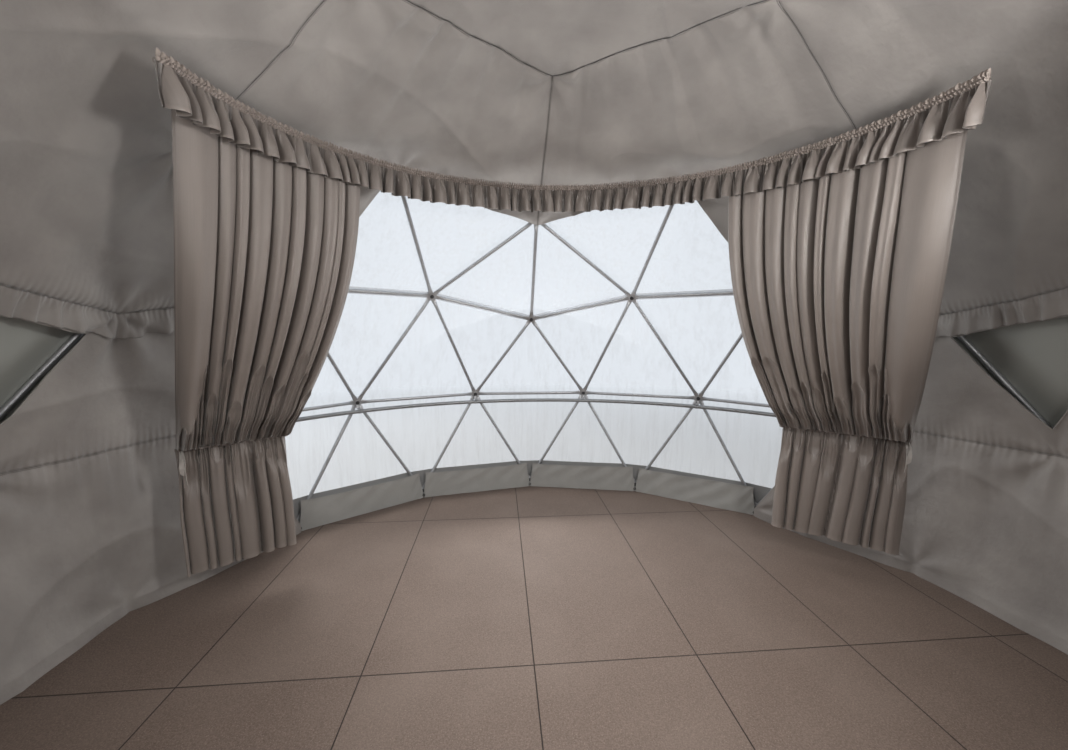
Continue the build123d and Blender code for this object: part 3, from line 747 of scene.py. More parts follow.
# triangles of the cover and liner between hubs, in the same groups as the CAD nodes
def roofPanels(k):
    a, b, c = (2, 2 * k), (2, 2 * k + 1), (2, 2 * k + 2)
    u, v, w, x = (3, 3 * k), (3, 3 * k + 1), (3, 3 * k + 2), (3, 3 * k + 3)
    return [(a, u, v), (a, v, b), (b, v, w), (b, w, c), (c, w, x)]


def upperUp(i):
    return ((3, i), (4, i - 1), (4, i))


def upperDown(i):
    return ((3, i), (4, i), (3, i + 1))


def lowerUp(i):
    return ((4, i), (5, i), (5, i + 1))


def lowerDown(i):
    return ((4, i - 1), (5, i), (4, i))


crownPanels = []
for k in range(5):
    crownPanels += [((0, 0), (1, k), (1, k + 1)), ((1, k), (2, 2 * k + 1), (1, k + 1)),
                    ((1, k), (2, 2 * k), (2, 2 * k + 1)), ((1, k), (2, 2 * k - 1), (2, 2 * k))]
leftPanels = roofPanels(0)[3:] + roofPanels(1)[:2]
leftPanels += [upperDown(2), upperUp(3), upperDown(3), upperUp(4), lowerUp(2), lowerDown(3), lowerUp(3), lowerDown(4)]
backLeftPanels = roofPanels(1)[2:] + roofPanels(2)[:2] + [upperDown(4), upperUp(5), upperDown(5), upperUp(6)]
backLeftPanels += [upperDown(6), lowerUp(4), lowerDown(5), lowerUp(5), lowerDown(6), lowerUp(6)]
windowUpper = roofPanels(0)[:3] + roofPanels(4)[2:]
windowMiddle = [upperUp(i) for i in range(-2, 3)] + [upperDown(i) for i in range(-2, 2)]
windowLower = [lowerDown(i) for i in range(-2, 3)] + [lowerUp(i) for i in range(-2, 2)]
browPanel, ventPanel = roofPanels(2)[2], upperDown(3)
leftEdges, backLeftEdges, windowEdges = [2, 3], [4, 5, 6], [-2, -1, 0, 1]
# ends of the names of a part and its node, its panels, the base sides it hangs from, and whether it is mirrored
clothParts = [("Crown", "crown", crownPanels, [], False), ("Left", "left", leftPanels, leftEdges, False),
              ("BackLeft", "back_left", backLeftPanels, backLeftEdges, False),
              ("Right", "right", leftPanels, leftEdges, True),
              ("BackRight", "back_right", backLeftPanels, backLeftEdges, True)]


# corners of each panel as points at a radius; strips hang from the base row to a height
def panelCorners(panels, edges, radius, low, mirror=False):
    faces = [[hubPlace(spot, radius) for spot in panel] for panel in panels]
    for i in edges:
        a, b = hubPlace((5, i), radius), hubPlace((5, i + 1), radius)
        faces.append([a, np.array([a[0], a[1], low]), np.array([b[0], b[1], low]), b])
    if mirror:
        faces = [[p * np.array([-1, 1, 1]) for p in reversed(f)] for f in faces]
    return faces


# flat panels, merged at their seams and subdivided evenly
def panelSheet(name, faces, cuts):
    ends = np.cumsum([len(f) for f in faces])
    obj = addMesh(name, [p for f in faces for p in f], [list(range(end - len(f), end)) for f, end in zip(faces, ends)])
    with editing(obj):
        bpy.ops.mesh.remove_doubles(threshold=0.0002)
        bpy.ops.mesh.normals_make_consistent(inside=False)
        bpy.ops.mesh.subdivide(number_cuts=cuts)
    return obj


def makeOutward(obj):
    normals = np.array([p.normal for p in obj.data.polygons])
    centres = np.array([p.center for p in obj.data.polygons]) - middle
    if (normals * centres).sum() < 0:
        obj.data.flip_normals()
    return obj


def seamDistance(points, seams, radius):
    best = np.full(len(points), 9.0)
    for first, second in seams:
        a, b = hubPlace(first, radius), hubPlace(second, radius)
        t = np.clip((points - a) @ (b - a) / ((b - a) @ (b - a)), 0, 1)
        best = np.minimum(best, np.linalg.norm(points - a - t[:, None] * (b - a), axis=1))
    return best


# marks the vertices whose normal points at the dome's middle
def markInnerFace(obj):
    normals = np.zeros(len(obj.data.vertices) * 3)
    obj.data.vertices.foreach_get("normal", normals)
    pointValue(obj, "innerFace", (normals.reshape(-1, 3) * (vertexPlaces(obj) - middle)).sum(1) < 0)


def panelEdges(panels):
    return sorted({tuple(sorted(map(counted, side))) for panel in panels for side in zip(panel, panel[1:] + panel[:1])})


# stretched membrane: flat from tube to tube, drawn in a little between them, straight below the base row
def drawIn(obj, panels, shape, seed, mirror=False):
    flip = np.array([-1 if mirror else 1, 1, 1])
    points = vertexPlaces(obj) * flip
    away = seamDistance(points, panelEdges(panels), shape["radius"])
    dip = shape["dip"] * (1 - hump(away, 0.16)) + 0.0012 * wander(*(points / 0.16).T, seed) * softStep(0.01, 0.08, away)
    moved = points - outwards(points) * dip[:, None]
    below = points[:, 2] < middle[2] - beltRise - 0.012
    moved[below] = points[below]
    setVertexPlaces(obj, moved * flip)
    away[below] = np.minimum(away[below], points[below, 2] - coverShape["hem"] + 0.004)
    return away


def finishCover(obj, node):
    flatArea = thicken(makeOutward(obj), coverShape["thickness"], 25)
    markInnerFace(obj)
    finishPiece(obj, [node], membrane)


coverShape = {"radius": 3.0187, "thickness": 0.0018, "dip": 0.007, "hem": 0.0115, "cuts": 23, "seed": 3}
for part, node, panels, edges, mirror in clothParts:
    flat = panelCorners(panels, edges, coverShape["radius"], coverShape["hem"], mirror)
    obj = panelSheet("cover" + part, flat, coverShape["cuts"])
    pointValue(obj, "weld", drawIn(obj, panels, coverShape, coverShape["seed"], mirror))
    finishCover(obj, "cover_" + node)


# panels from the left-out hub's hexagon to the door frame, as in the CAD
def doorPanels(front, half, topZ, footZ, radius):
    highLeft, highRight = hubPlace((3, 7), radius), hubPlace((3, 8), radius)
    faces = [[highLeft, np.array([half, front, topZ]), np.array([-half, front, topZ]), highRight],
             [hubPlace(s, radius) for s in browPanel]]
    for side, high, beltSpot, lowSpot in ((1, highLeft, (4, 6), (5, 7)), (-1, highRight, (4, 8), (5, 8))):
        topCorner, footCorner = np.array([side * half, front, topZ]), np.array([side * half, front, footZ])
        beside, low = hubPlace(beltSpot, radius), hubPlace(lowSpot, radius)
        for f in ([high, beside, topCorner], [beside, footCorner, topCorner], [beside, low, footCorner]):
            faces.append(f[::side])
    return faces


doorCorners = doorPanels(door["front"] + 0.002, door["half"] + 0.0003, door["top"] + 0.0003, 0.06, coverShape["radius"])
doorCover = panelSheet("coverDoorway", doorCorners, 15)
pointValue(doorCover, "weld", 0.2)
finishCover(doorCover, "cover_doorway")
print("cover ready")

filmShape = {"radius": 3.0187, "thickness": 0.0009, "dip": 0.005, "cuts": 23, "hemTop": 0.35, "seed": 8}
filmParts = {"filmUpper": ("window_film_upper", windowUpper, [], 0),
             "filmMiddle": ("window_film_middle", windowMiddle, [], 0),
             "filmLower": ("window_film_lower", windowLower, windowEdges, filmShape["hemTop"])}
tapeLines = [((3, i), (3, i + 1)) for i in range(-2, 2)]


def filmPiece(name, panels, edges, cut, keepTop=True):
    obj = panelSheet(name, panelCorners(panels, edges, filmShape["radius"], coverShape["hem"]), filmShape["cuts"])
    drawIn(obj, panels, filmShape, filmShape["seed"])
    if cut:
        with editing(obj):
            bpy.ops.mesh.bisect(plane_co=(0, 0, cut), plane_no=(0, 0, 1), clear_inner=keepTop, clear_outer=not keepTop)
    for layer, seams in (("weld", panelEdges(panels)), ("tape", tapeLines)):
        pointValue(obj, layer, seamDistance(vertexPlaces(obj), seams, filmShape["radius"]))
    return obj, thicken(makeOutward(obj), filmShape["thickness"], 25)


for name, (node, panels, edges, cut) in filmParts.items():
    obj, flatArea = filmPiece(name, panels, edges, cut)
    finishPiece(obj, [node], film)
hemPiece, flatArea = filmPiece("windowHem", windowLower, windowEdges, filmShape["hemTop"], False)
finishPiece(hemPiece, ["window_hem"], hemBand)
print("window ready")

linerShape = {"radius": 2.8995, "sag": 0.085, "reach": 0.72, "cuts": 59, "thickness": 0.0012, "folds": 0.024,
              "billow": 0.030, "ripple": 0.008, "ridge": 0.018, "box": 0.005, "seam": 0.004, "tuck": 0.010,
              "ventBand": 0.155, "ventEdge": 0.04, "ventFoot": 0.085, "ventBow": 0.010, "ventRings": 14,
              "cord": 0.0028, "binding": 0.0045}
# by row of hubs: pitch, depth and length of the gathers that hang from its seams, and their seed
linerGathers = {1: (0.50, 0.015, 0.50, 41), 3: (0.16, 0.006, 0.25, 43), 4: (0.13, 0.010, 0.22, 45)}
linerTies = np.array([h for row in rows for h in row])
linerFoot = middle[2] - beltRise * linerShape["radius"] / dome["radius"]
footZ = dome["floorTop"] + 0.001


# how far below a ring of seams each direction lies, in metres
def ringDrop(out, row):
    azimuth = azimuthOf(out)
    ring = np.zeros(len(out))
    for a, b in zip(rows[row], rows[row][1:] + rows[row][:1]):
        n = np.cross(a, b)
        start = math.atan2(a[1], a[0])
        on = (azimuth - start) % (2 * math.pi) < (math.atan2(b[1], b[0]) - start) % (2 * math.pi)
        ring[on] = np.arctan2(-(n[0] * np.cos(azimuth[on]) + n[1] * np.sin(azimuth[on])), n[2])
    return (ring - np.arcsin(np.clip(out[:, 2], -1, 1))) * linerShape["radius"]


# wandering round the dome, the same at both ends of the turn
def wanderRound(azimuth, scale, z, seed):
    return wander(np.cos(azimuth) * scale, np.sin(azimuth) * scale, z, seed)


# gathers that hang from a ring of seams and die out below it
def pleats(out, drop, pitch, depth, length, seed):
    azimuth = azimuthOf(out)
    count = max(1, round(2 * math.pi * linerShape["radius"] * 0.9 / pitch))
    phase = azimuth * count + 1.5 * wanderRound(azimuth, 9, drop * 1.5, seed)
    size = 0.6 + 0.5 * wanderRound(azimuth, 14, 0, seed + 1)
    fold = np.sin(phase) + 0.4 * np.sin(2 * phase + 0.7) + 0.2 * np.sin(3 * phase + 1.9)
    below = np.exp(-np.clip(drop, 0, 9) / length) * softStep(0, 0.02, drop)
    above = 0.3 * np.exp(np.clip(drop, -9, 0) / 0.05)
    return depth * fold * np.clip(size, 0.15, 1.2) * np.where(drop > 0, below, above)


# seams: the ring under the crown, its five upright seams, and the rings above and at the belt
def seamDistances(out):
    drops = {row: ringDrop(out, row) for row in linerGathers}
    best = np.min([np.abs(d) for d in drops.values()], axis=0)
    latitude, azimuth = np.arcsin(np.clip(out[:, 2], -1, 1)), azimuthOf(out)
    for k in range(5):
        a, b = rows[1][k], rows[2][2 * k]
        turned = azimuth - math.atan2(b[1], b[0])
        aside = np.abs(np.sin(turned)) * np.cos(latitude) * linerShape["radius"]
        on = (latitude < math.asin(a[2])) & (latitude > math.asin(b[2])) & (np.cos(turned) > 0)
        best = np.where(on, np.minimum(best, aside), best)
    return best, drops


# one curved cloth through the ties: it falls inward between them, with folds that run out from each tie
def hungCloth(points):
    s = linerShape
    base = np.array(points, float)
    heights = base[:, 2].copy()
    strip = heights < linerFoot - 1e-4
    base[strip, 2] = linerFoot
    out = outwards(base)
    apart = np.arccos(np.clip(out @ linerTies.T, -1, 1)) * s["radius"]
    away = np.clip(-0.05 * np.log(np.exp(-apart / 0.05).sum(axis=1)), 0, s["reach"])
    depth = s["sag"] * (1 - (1 - away / s["reach"]) ** 2)
    seam, drops = seamDistances(out)
    rng = np.random.default_rng(11)
    for i, tie in enumerate(linerTies):
        count, start, strength = rng.integers(5, 9), rng.uniform(0, 6.28), rng.uniform(0.6, 1.2)
        near = apart[:, i] < 1.0
        side = unit(np.cross(tie, upright) if abs(tie[2]) < 0.99 else np.array([1.0, 0, 0]))
        angle = np.arctan2(out[near] @ side, out[near] @ np.cross(side, tie))
        d = apart[near, i]
        under = 0.45 + 0.55 * (1 - np.cos(angle)) / 2
        fold = np.cos(count * angle + start + 1.2 * wander(*(out[near] * 6).T, i))
        depth[near] += s["folds"] * strength * fold * under * (1 - hump(d, 0.09)) * hump(d, 0.42)
        depth[near] -= s["tuck"] * hump(d, 0.03)
    held = 1 - hump(away, 0.16)
    depth += s["billow"] * held * wander(*(out * 9).T, 21) + s["ripple"] * held * wander(*(out * 26).T, 22)
    depth += s["ridge"] * held * np.exp(-np.abs(wander(*(out * 8).T, 31)) * 7)
    for row, (pitch, deep, length, seed) in linerGathers.items():
        depth += pleats(out, drops[row], pitch, deep, length, seed)
    azimuth = azimuthOf(out)
    box = softStep(0.45, 0.55, np.sin(azimuth * 34 + 2 * wanderRound(azimuth, 5, 0, 47)))
    depth += s["box"] * box * softStep(0.01, 0.03, drops[4]) * (1 - softStep(0.2, 0.42, drops[4]))
    depth -= s["seam"] * hump(seam, 0.012)
    placed = middle + out * (s["radius"] - depth)[:, None]
    share = (heights[strip] - dome["floorTop"]) / (linerFoot - dome["floorTop"])
    placed[strip, 2] = footZ + share * (placed[strip, 2] - footZ)
    return placed, seam, np.exp(-np.minimum(np.abs(drops[3]), np.abs(drops[4])) / 0.05)


# ring of cloth between a panel's edges and the opening in it, and the opening's rim
def ventSheet(panel):
    a, b, c = [hubPlace(s, linerShape["radius"]) for s in panel]
    band, edge, foot = linerShape["ventBand"], linerShape["ventEdge"], linerShape["ventFoot"]
    shares = [(1 - band - edge, band, edge), (foot, 1 - 2 * foot, foot), (edge, band, 1 - band - edge)]
    hole = [a * x + b * y + c * z for x, y, z in shares]
    steps, ringCount, centre = linerShape["cuts"] + 1, linerShape["ventRings"], sum(hole) / 3
    grid = []
    for p, q, h, k in ((a, b, hole[0], hole[1]), (b, c, hole[1], hole[2]), (c, a, hole[2], hole[0])):
        for t in np.arange(steps) / steps:
            rim, outer = h + (k - h) * t, p + (q - p) * t
            rim = rim + unit(rim - centre) * linerShape["ventBow"] * 4 * t * (1 - t)
            grid.append([outer + (rim - outer) * j / ringCount for j in range(ringCount + 1)])
    wide, count = ringCount + 1, len(grid)
    faces = [(i * wide + j, (i + 1) % count * wide + j, (i + 1) % count * wide + j + 1, i * wide + j + 1)
             for i in range(count) for j in range(ringCount)]
    return addMesh("vent", [p for line in grid for p in line], faces), np.array([line[-1] for line in grid])


# round cord that follows points lying on the cloth
def cordAlong(name, points, radius, closed=False):
    data = bpy.data.curves.new(name, "CURVE")
    data.dimensions = "3D"
    line = data.splines.new("POLY")
    line.points.add(len(points) - 1)
    for spot, p in zip(line.points, points):
        spot.co = (*p, 1)
    line.use_cyclic_u = closed
    data.bevel_depth, data.bevel_resolution, data.use_fill_caps = radius, 1, True
    pick(addObject(name, data))
    bpy.ops.object.convert(target="MESH")
    return bpy.context.object


def inward(points, distance):
    return points - outwards(points) * distance


# cloth coordinates from above for the crown, round the dome for the rest
def clothMap(obj, fromAbove=False):
    places = vertexPlaces(obj)
    if fromAbove:
        return uvFromPoints(obj, places[:, 0], places[:, 1])
    out = places - middle
    azimuth = azimuthOf(out)
    if places[:, 0].mean() < 0:
        azimuth = np.where(azimuth > math.pi / 2, azimuth - 2 * math.pi, azimuth)
    uvFromPoints(obj, azimuth * 2.6, np.arctan2(out[:, 2], np.hypot(out[:, 0], out[:, 1])) * 2.9)


for part, node, panels, edges, mirror in clothParts:
    vented = [p for p in panels if p != ventPanel]
    flat = panelCorners(vented, edges, linerShape["radius"], footZ, mirror)
    obj = panelSheet("liner" + part, flat, linerShape["cuts"])
    if len(vented) < len(panels):
        vent, ventRim = ventSheet(ventPanel)
        if mirror:
            mirrorX(vent)
        obj = joinAs("liner" + part, [obj, vent])
        with editing(obj):
            bpy.ops.mesh.remove_doubles(threshold=0.0005)
            bpy.ops.mesh.normals_make_consistent(inside=False)
    flatArea = sum(p.area for p in obj.data.polygons)
    placed, seam, gather = hungCloth(vertexPlaces(obj))
    setVertexPlaces(obj, placed)
    pointValue(obj, "seam", seam)
    pointValue(obj, "gather", gather)
    clothMap(obj, part == "Crown")
    thicken(makeOutward(obj), linerShape["thickness"])
    finishPiece(obj, ["liner_" + node], liner)

doorBack = door["front"] - door["depth"]
flat = doorPanels(doorBack - 0.0003, door["half"], door["top"], footZ, linerShape["radius"])
doorLiner = panelSheet("linerDoorway", flat, 23)
places = vertexPlaces(doorLiner)
besideFrame = np.hypot(np.clip(np.abs(places[:, 0]) - door["half"], 0, 9), np.clip(places[:, 2] - door["top"], 0, 9))
besideFrame = np.hypot(besideFrame, np.clip(doorBack - places[:, 1], 0, 9) * 0.5)
hung, seam, gather = hungCloth(places)
blend = softStep(0.0, 0.16, besideFrame)
setVertexPlaces(doorLiner, places + (hung - places) * blend[:, None])
pointValue(doorLiner, "seam", seam)
pointValue(doorLiner, "gather", gather * blend)
clothMap(doorLiner)
flatArea = thicken(makeOutward(doorLiner), linerShape["thickness"])
finishPiece(doorLiner, ["liner_doorway"], liner)

# pleated band sewn along the shoulder row, its lower edge free; it stops at the window
bandShape = {"start": -40.5, "end": 220.5, "drop": 0.140, "pitch": 0.115, "depth": 0.011, "proud": 0.007,
             "flare": 0.012, "columns": 1500, "levels": 9, "thickness": 0.0014}
bandPuckers = np.random.default_rng(55).uniform(0.6, 1.5, 400)
insideRadius = 2.8  # only the direction of points given to hungCloth counts


def shoulderCloth(u, v):
    s = bandShape
    azimuth = np.radians(s["start"] + (s["end"] - s["start"]) * u)
    ring = ringDrop(np.stack([np.cos(azimuth), np.sin(azimuth), 0 * azimuth], 1), 3)
    latitude = ring / linerShape["radius"] - s["drop"] * v / linerShape["radius"]
    out = np.stack([np.cos(latitude) * np.cos(azimuth), np.cos(latitude) * np.sin(azimuth), np.sin(latitude)], 1)
    x = azimuth * 2.75
    edges = np.cumsum(bandPuckers) * s["pitch"] * 0.95 - 4.0
    fold = np.searchsorted(edges, x)
    phase = 2 * math.pi * (x - edges[fold - 1]) / (edges[fold] - edges[fold - 1])
    opened = 0.35 + 0.65 * softStep(0.0, 0.5, v)
    pleat = s["depth"] * opened * (np.cos(phase) + 0.3 * np.cos(2 * phase + 0.6)) + 0.003 * wander(x * 18, v * 3, 0, 56)
    pucker = 0.0018 * np.sin(x * 260 + 2 * wander(x * 20, 0, 0, 57)) * (1 - softStep(0, 0.2, v))
    stand = s["proud"] + s["flare"] * v + pleat + pucker
    lift = 0.004 * wander(x * 9, 0, 0, 58) * v
    return hungCloth(middle + out * insideRadius)[0] - out * stand[:, None] + upright * lift[:, None]


def evenly(count):
    return np.linspace(0, 1, count + 1)


shoulderBand, u, v = sheetFrom("shoulderBand", shoulderCloth, evenly(bandShape["columns"]), evenly(bandShape["levels"]))
uvFromPoints(shoulderBand, u * 15.2, v * bandShape["drop"])
pointValue(shoulderBand, "seam", 0.0045 + np.minimum(v, 1 - v) * bandShape["drop"])
pointValue(shoulderBand, "gather", 1 - softStep(0, 0.6, v))
area = thicken(shoulderBand, bandShape["thickness"])
finishPiece(shoulderBand, [], liner)

# dark cord in the seams under the crown
cords = []
arcs = [(rows[1][k], rows[1][(k + 1) % 5], 44, 1.0) for k in range(5)]
arcs += [(rows[1][k], rows[2][2 * k], 40, 0.5) for k in range(5)]
for a, b, count, share in arcs:
    spots = [middle + unit(a + (b - a) * t) * insideRadius for t in np.linspace(0, 1, count)]
    cords.append(cordAlong("seamCord", inward(hungCloth(spots)[0], 0.002 * share), linerShape["cord"] * share))
finishPiece(smooth(joinAs("seamCords", cords), 60), [], welt)

# bound edge round each opening
edging = []
for mirror in (1, -1):
    rim = inward(hungCloth(ventRim * np.array([mirror, 1, 1]))[0], 0.001)
    edging.append(cordAlong("openingEdge", rim, linerShape["binding"], True))
openingEdges = joinAs("openingEdges", edging)
uvFromPoints(openingEdges, *vertexPlaces(openingEdges)[:, 1:].T)
pointValue(openingEdges, "seam", 0.1)
finishPiece(smooth(openingEdges, 60), [], liner)
print("liner ready")

# skirt inside the foot of the window: one flap between each two base hubs, notched where the tubes come down
skirtShape = {"height": 0.262, "topInset": 0.028, "footInset": 0.064, "thickness": 0.0022, "notchTop": 0.034,
              "notchFoot": 0.004, "columns": 96, "levels": 26, "wrinkle": 0.007, "eyelet": 0.011, "eyeletRise": 0.030,
              "flap": (1.23, 0.27)}


def flapCloth(i):
    near, far = [unit(hub(5, j) * level) for j in (i, i + 1)]
    along, s = unit(far - near), skirtShape

    def shape(u, v):
        ring = ringRadius - (s["footInset"] + (s["topInset"] - s["footInset"]) * v + 0.001)
        notch = s["notchFoot"] + (s["notchTop"] - s["notchFoot"]) * softStep(0.10, 0.9, v)
        a, b = near * ring[:, None] + along * notch[:, None], far * ring[:, None] - along * notch[:, None]
        wide = np.linalg.norm(b - a, axis=1)
        x = u * wide
        ripple = 0.6 * np.sin(24 * x + 9 * v + 2.0 * wander(x * 5, v * 2, i, 61))
        ripple += 0.7 * wander(x * 12 + v * 5, v * 3 - x * 4, i * 2.0, 62)
        pull = hump(np.minimum(x, wide - x), 0.10)
        stand = s["wrinkle"] * ripple * (0.35 + 0.65 * v) * (1 - 0.5 * pull) + 0.003 * np.sin(60 * x + 14 * v) * pull
        spot = a + (b - a) * u[:, None]
        spot = spot - spot / np.linalg.norm(spot, axis=1)[:, None] * stand[:, None]
        height = s["height"] + 0.006 * wander(x * 4, i, 0, 63) + 0.010 * pull
        return spot + upright * (dome["floorTop"] + 0.0015 + height * v)[:, None]

    return shape


flaps = []
for i in windowEdges:
    flap, u, v = sheetFrom("flap", flapCloth(i), evenly(skirtShape["columns"]), evenly(skirtShape["levels"]))
    pointValue(flap, "hem", np.clip(1 - np.minimum(np.minimum(u, 1 - u) * 1.2, (1 - v) * 0.26) / 0.02, 0, 1))
    uvFromPoints(flap, u * skirtShape["flap"][0], v * skirtShape["flap"][1])
    flaps.append(flap)
windowSkirt = joinAs("windowSkirt", flaps)
area = thicken(windowSkirt, skirtShape["thickness"])
finishPiece(windowSkirt, ["window_skirt"], skirt)

eyelets = []
for i in range(-2, 3):
    out = unit(hub(5, i) * level)
    spot = out * (ringRadius - skirtShape["footInset"] - 0.006)
    spot += upright * (dome["floorTop"] + skirtShape["eyeletRise"])
    eyelets.append(ringAt(matrixOf(np.cross(upright, out), out, spot), skirtShape["eyelet"], 0.004, 20, 8))
finishPiece(smooth(joinAs("skirtEyelets", eyelets), 60), [], welt)
print("skirt ready")

rail = {"radius": 1.59, "rise": 2.28, "tube": 0.01, "round": 14, "start": -184.0, "end": -1.5, "steps": 190,
        "tilt": 3.5}
rail["height"] = middle[2] + rail["rise"]  # over the window's middle; the ends dip
railLean = (Matrix.Translation((0, -rail["radius"], rail["height"]))
            @ Matrix.Rotation(math.radians(-rail["tilt"]), 4, "X")
            @ Matrix.Translation((0, rail["radius"], -rail["height"])))
railTube = spunTube("curtainRail", rail["tube"], rail["radius"], rail["height"], rail["start"], rail["end"],
                    rail["steps"], rail["round"])
railTube.data.transform(railLean)
finishPiece(railTube, ["curtain_rail"], railPaint)
finishPiece(easedCopy("rail_brackets", "railBrackets", 0.0015), ["rail_brackets"], railPaint)

valanceShape = {"radius": 1.5617, "top": rail["height"] + 0.020, "drop": 0.185, "heading": 0.034, "pitch": 0.080,
                "depth": 0.036, "gather": 0.0150, "puckers": 0.026, "thickness": 0.0014, "start": rail["start"] - 1.2,
                "end": rail["end"] + 1.2, "cloth": 7.6}


def aroundRail(azimuth, radius, height):
    angle, m = np.radians(azimuth), np.array(railLean)
    return np.stack([radius * np.cos(angle), radius * np.sin(angle), height + 0 * angle], 1) @ m[:3, :3].T + m[:3, 3]


# fold number and phase (0 at a fold's front) of places along a cloth with folds of uneven width
def foldPhase(x, edges):
    fold = np.clip(np.searchsorted(edges, x, side="right") - 1, 0, len(edges) - 2)
    wide = edges[fold + 1] - edges[fold]
    return fold, 2 * math.pi * ((x - edges[fold]) / wide - 0.5), wide


# rounded front, steep sides, narrow gap
def roundFold(phase):
    return 2 * np.sqrt(np.clip(1.02 - np.abs(phase / math.pi) ** 2.3, 0.004, None)) - 1


ruffleRandom = np.random.default_rng(71)
ruffleEdges = np.cumsum(np.concatenate([[0], ruffleRandom.uniform(0.55, 1.5, 60)])) * valanceShape["pitch"]
ruffleSize, ruffleTurn = ruffleRandom.uniform(0.6, 1.2, 61), ruffleRandom.uniform(-0.5, 0.5, 61)


# azimuth and length along the valance
def alongValance(u):
    turned = (valanceShape["end"] - valanceShape["start"]) * u
    return valanceShape["start"] + turned, np.radians(turned) * valanceShape["radius"]


def ruffle(u, v):
    s = valanceShape
    azimuth, x = alongValance(u)
    slant = 0.020 * wander(x * 5, 0, 0, 72) * v
    fold, phase, wide = foldPhase(np.clip(x + slant, 0, ruffleEdges[-1] - 0.001), ruffleEdges)
    flare, twist = softStep(-0.25, 0.75, v), ruffleTurn[fold]
    depth = s["depth"] * ruffleSize[fold] * flare * (np.cos(phase) + 0.28 * np.cos(2 * phase + 3 * twist))
    gathers = 2 * math.pi * x / s["puckers"] + 2.2 * wander(x * 16, 0, 0, 75)
    depth += 0.0085 * (1 - softStep(0, 0.85, v)) * (np.cos(gathers) + 0.4 * np.cos(2 * gathers + 1))
    sway = flare * wide / (2 * math.pi) * (0.60 * np.sin(phase) + 0.46 * np.sin(2 * phase))
    sway += 0.022 * flare * twist * (1 + np.cos(phase))
    lift = 0.007 * wander(x * 8, 0, 0, 76) * v - 0.006 * (0.5 + 0.5 * np.cos(phase)) * v
    ends = softStep(0, 0.006, np.minimum(u, 1 - u))
    radius = s["radius"] + 0.004 - 0.012 * v - depth * (0.4 + 0.6 * ends)
    height = s["top"] - s["heading"] + 0.002 - (s["drop"] - s["heading"]) * v + lift
    return aroundRail(azimuth + np.degrees(sway / s["radius"]), radius, height)


def heading(u, v):
    s = valanceShape
    azimuth, x = alongValance(u)
    gathers = 2 * math.pi * x / s["gather"] + 3.0 * wander(x * 22, 0, 0, 75)
    size = np.clip(0.9 + 0.5 * wander(x * 40, 0, 0, 77), 0.3, 1.5)
    channel = np.abs(np.sin(v * math.pi * 2.0))
    depth = size * (0.0035 + 0.0065 * channel) * np.sin(gathers + 0.6 * np.sin(v * 6.0)) + 0.006 * channel
    depth += 0.003 * np.sin(gathers * 0.5 + 1.0) * (1 - v)
    depth *= softStep(0, 0.003, np.minimum(u, 1 - u))
    height = s["top"] - s["heading"] * v + 0.010 * size * (1 - softStep(0, 0.3, v)) * np.sin(gathers + 0.9)
    return aroundRail(azimuth, s["radius"] - depth, height)


valanceRuffle, u, v = sheetFrom("valanceRuffle", ruffle, evenly(1800), evenly(20))
uvFromPoints(valanceRuffle, u * valanceShape["cloth"], v * 0.16)
pointValue(valanceRuffle, "hem", softStep(0.90, 0.93, v))
ruffleTurned = foldPhase(alongValance(u)[1], ruffleEdges)[1]
# painted shade: the ruffle's colour darkens in the gaps between its folds
pointValue(valanceRuffle, "hollow", (0.5 - 0.5 * np.cos(ruffleTurned)) ** 3 * softStep(-0.2, 0.3, v))
valanceHeading, u, v = sheetFrom("valanceHeading", heading, evenly(2600), evenly(10))
uvFromPoints(valanceHeading, u * valanceShape["cloth"], v * 0.04)
pointValue(valanceHeading, "hem", 1 - softStep(0.05, 0.35, v))
area, _ = [thicken(obj, valanceShape["thickness"]) for obj in (valanceRuffle, valanceHeading)]
finishPiece(valanceRuffle, ["valance"], valanceCloth)
finishPiece(valanceHeading, ["valance"], headingCloth)

curtainShape = {"railInner": 48.0, "railRadius": 1.611, "tieRise": 0.480, "tieInner": (2.25, 56.0), "hem": 0.300,
                "thickness": 0.0016, "columns": 440, "folds": 9, "broad": 0.21, "railDepth": 0.030, "midDepth": 0.060,
                "crease": 0.032, "bulge": 0.055, "pouch": 0.060, "slump": 0.030, "hangFolds": 9, "hangDepth": 0.032,
                "flare": 0.030, "cloth": 2.1, "length": 2.66, "upperReach": (0.28, 0.60), "lowerReach": (0.10, 0.40)}
curtainSides = {"curtainLeft": {"node": "curtain_left", "side": 1, "railOuter": 85.0, "tieOuter": (2.50, 69.0),
                                "sweep": (1.25, 1.95), "seed": 81},
                "curtainRight": {"node": "curtain_right", "side": -1, "railOuter": 91.0, "tieOuter": (2.55, 72.5),
                                 "sweep": (2.5, 2.3), "seed": 94}}
# creases of the broad outer fold, in shares of it: middle, half width, reach from the tie, depth
broadCreases = ((0.19, 0.13, 0.17, 1.4), (0.42, 0.08, 0.14, 0.7), (0.58, 0.08, 0.22, 0.8), (0.73, 0.08, 0.36, 0.9),
                (0.87, 0.09, 0.54, 1.0))
tieHeight = middle[2] + curtainShape["tieRise"]


def planSpot(radius, angle):
    return np.array([radius * math.sin(math.radians(angle)), -radius * math.cos(math.radians(angle))])


def unevenEdges(first, count, rng, low, high):
    widths = rng.uniform(low, high, count)
    widths = widths / widths.sum() * (1 - first)
    return np.concatenate([[0], np.cumsum(np.concatenate([[first], widths]) if first else widths)])


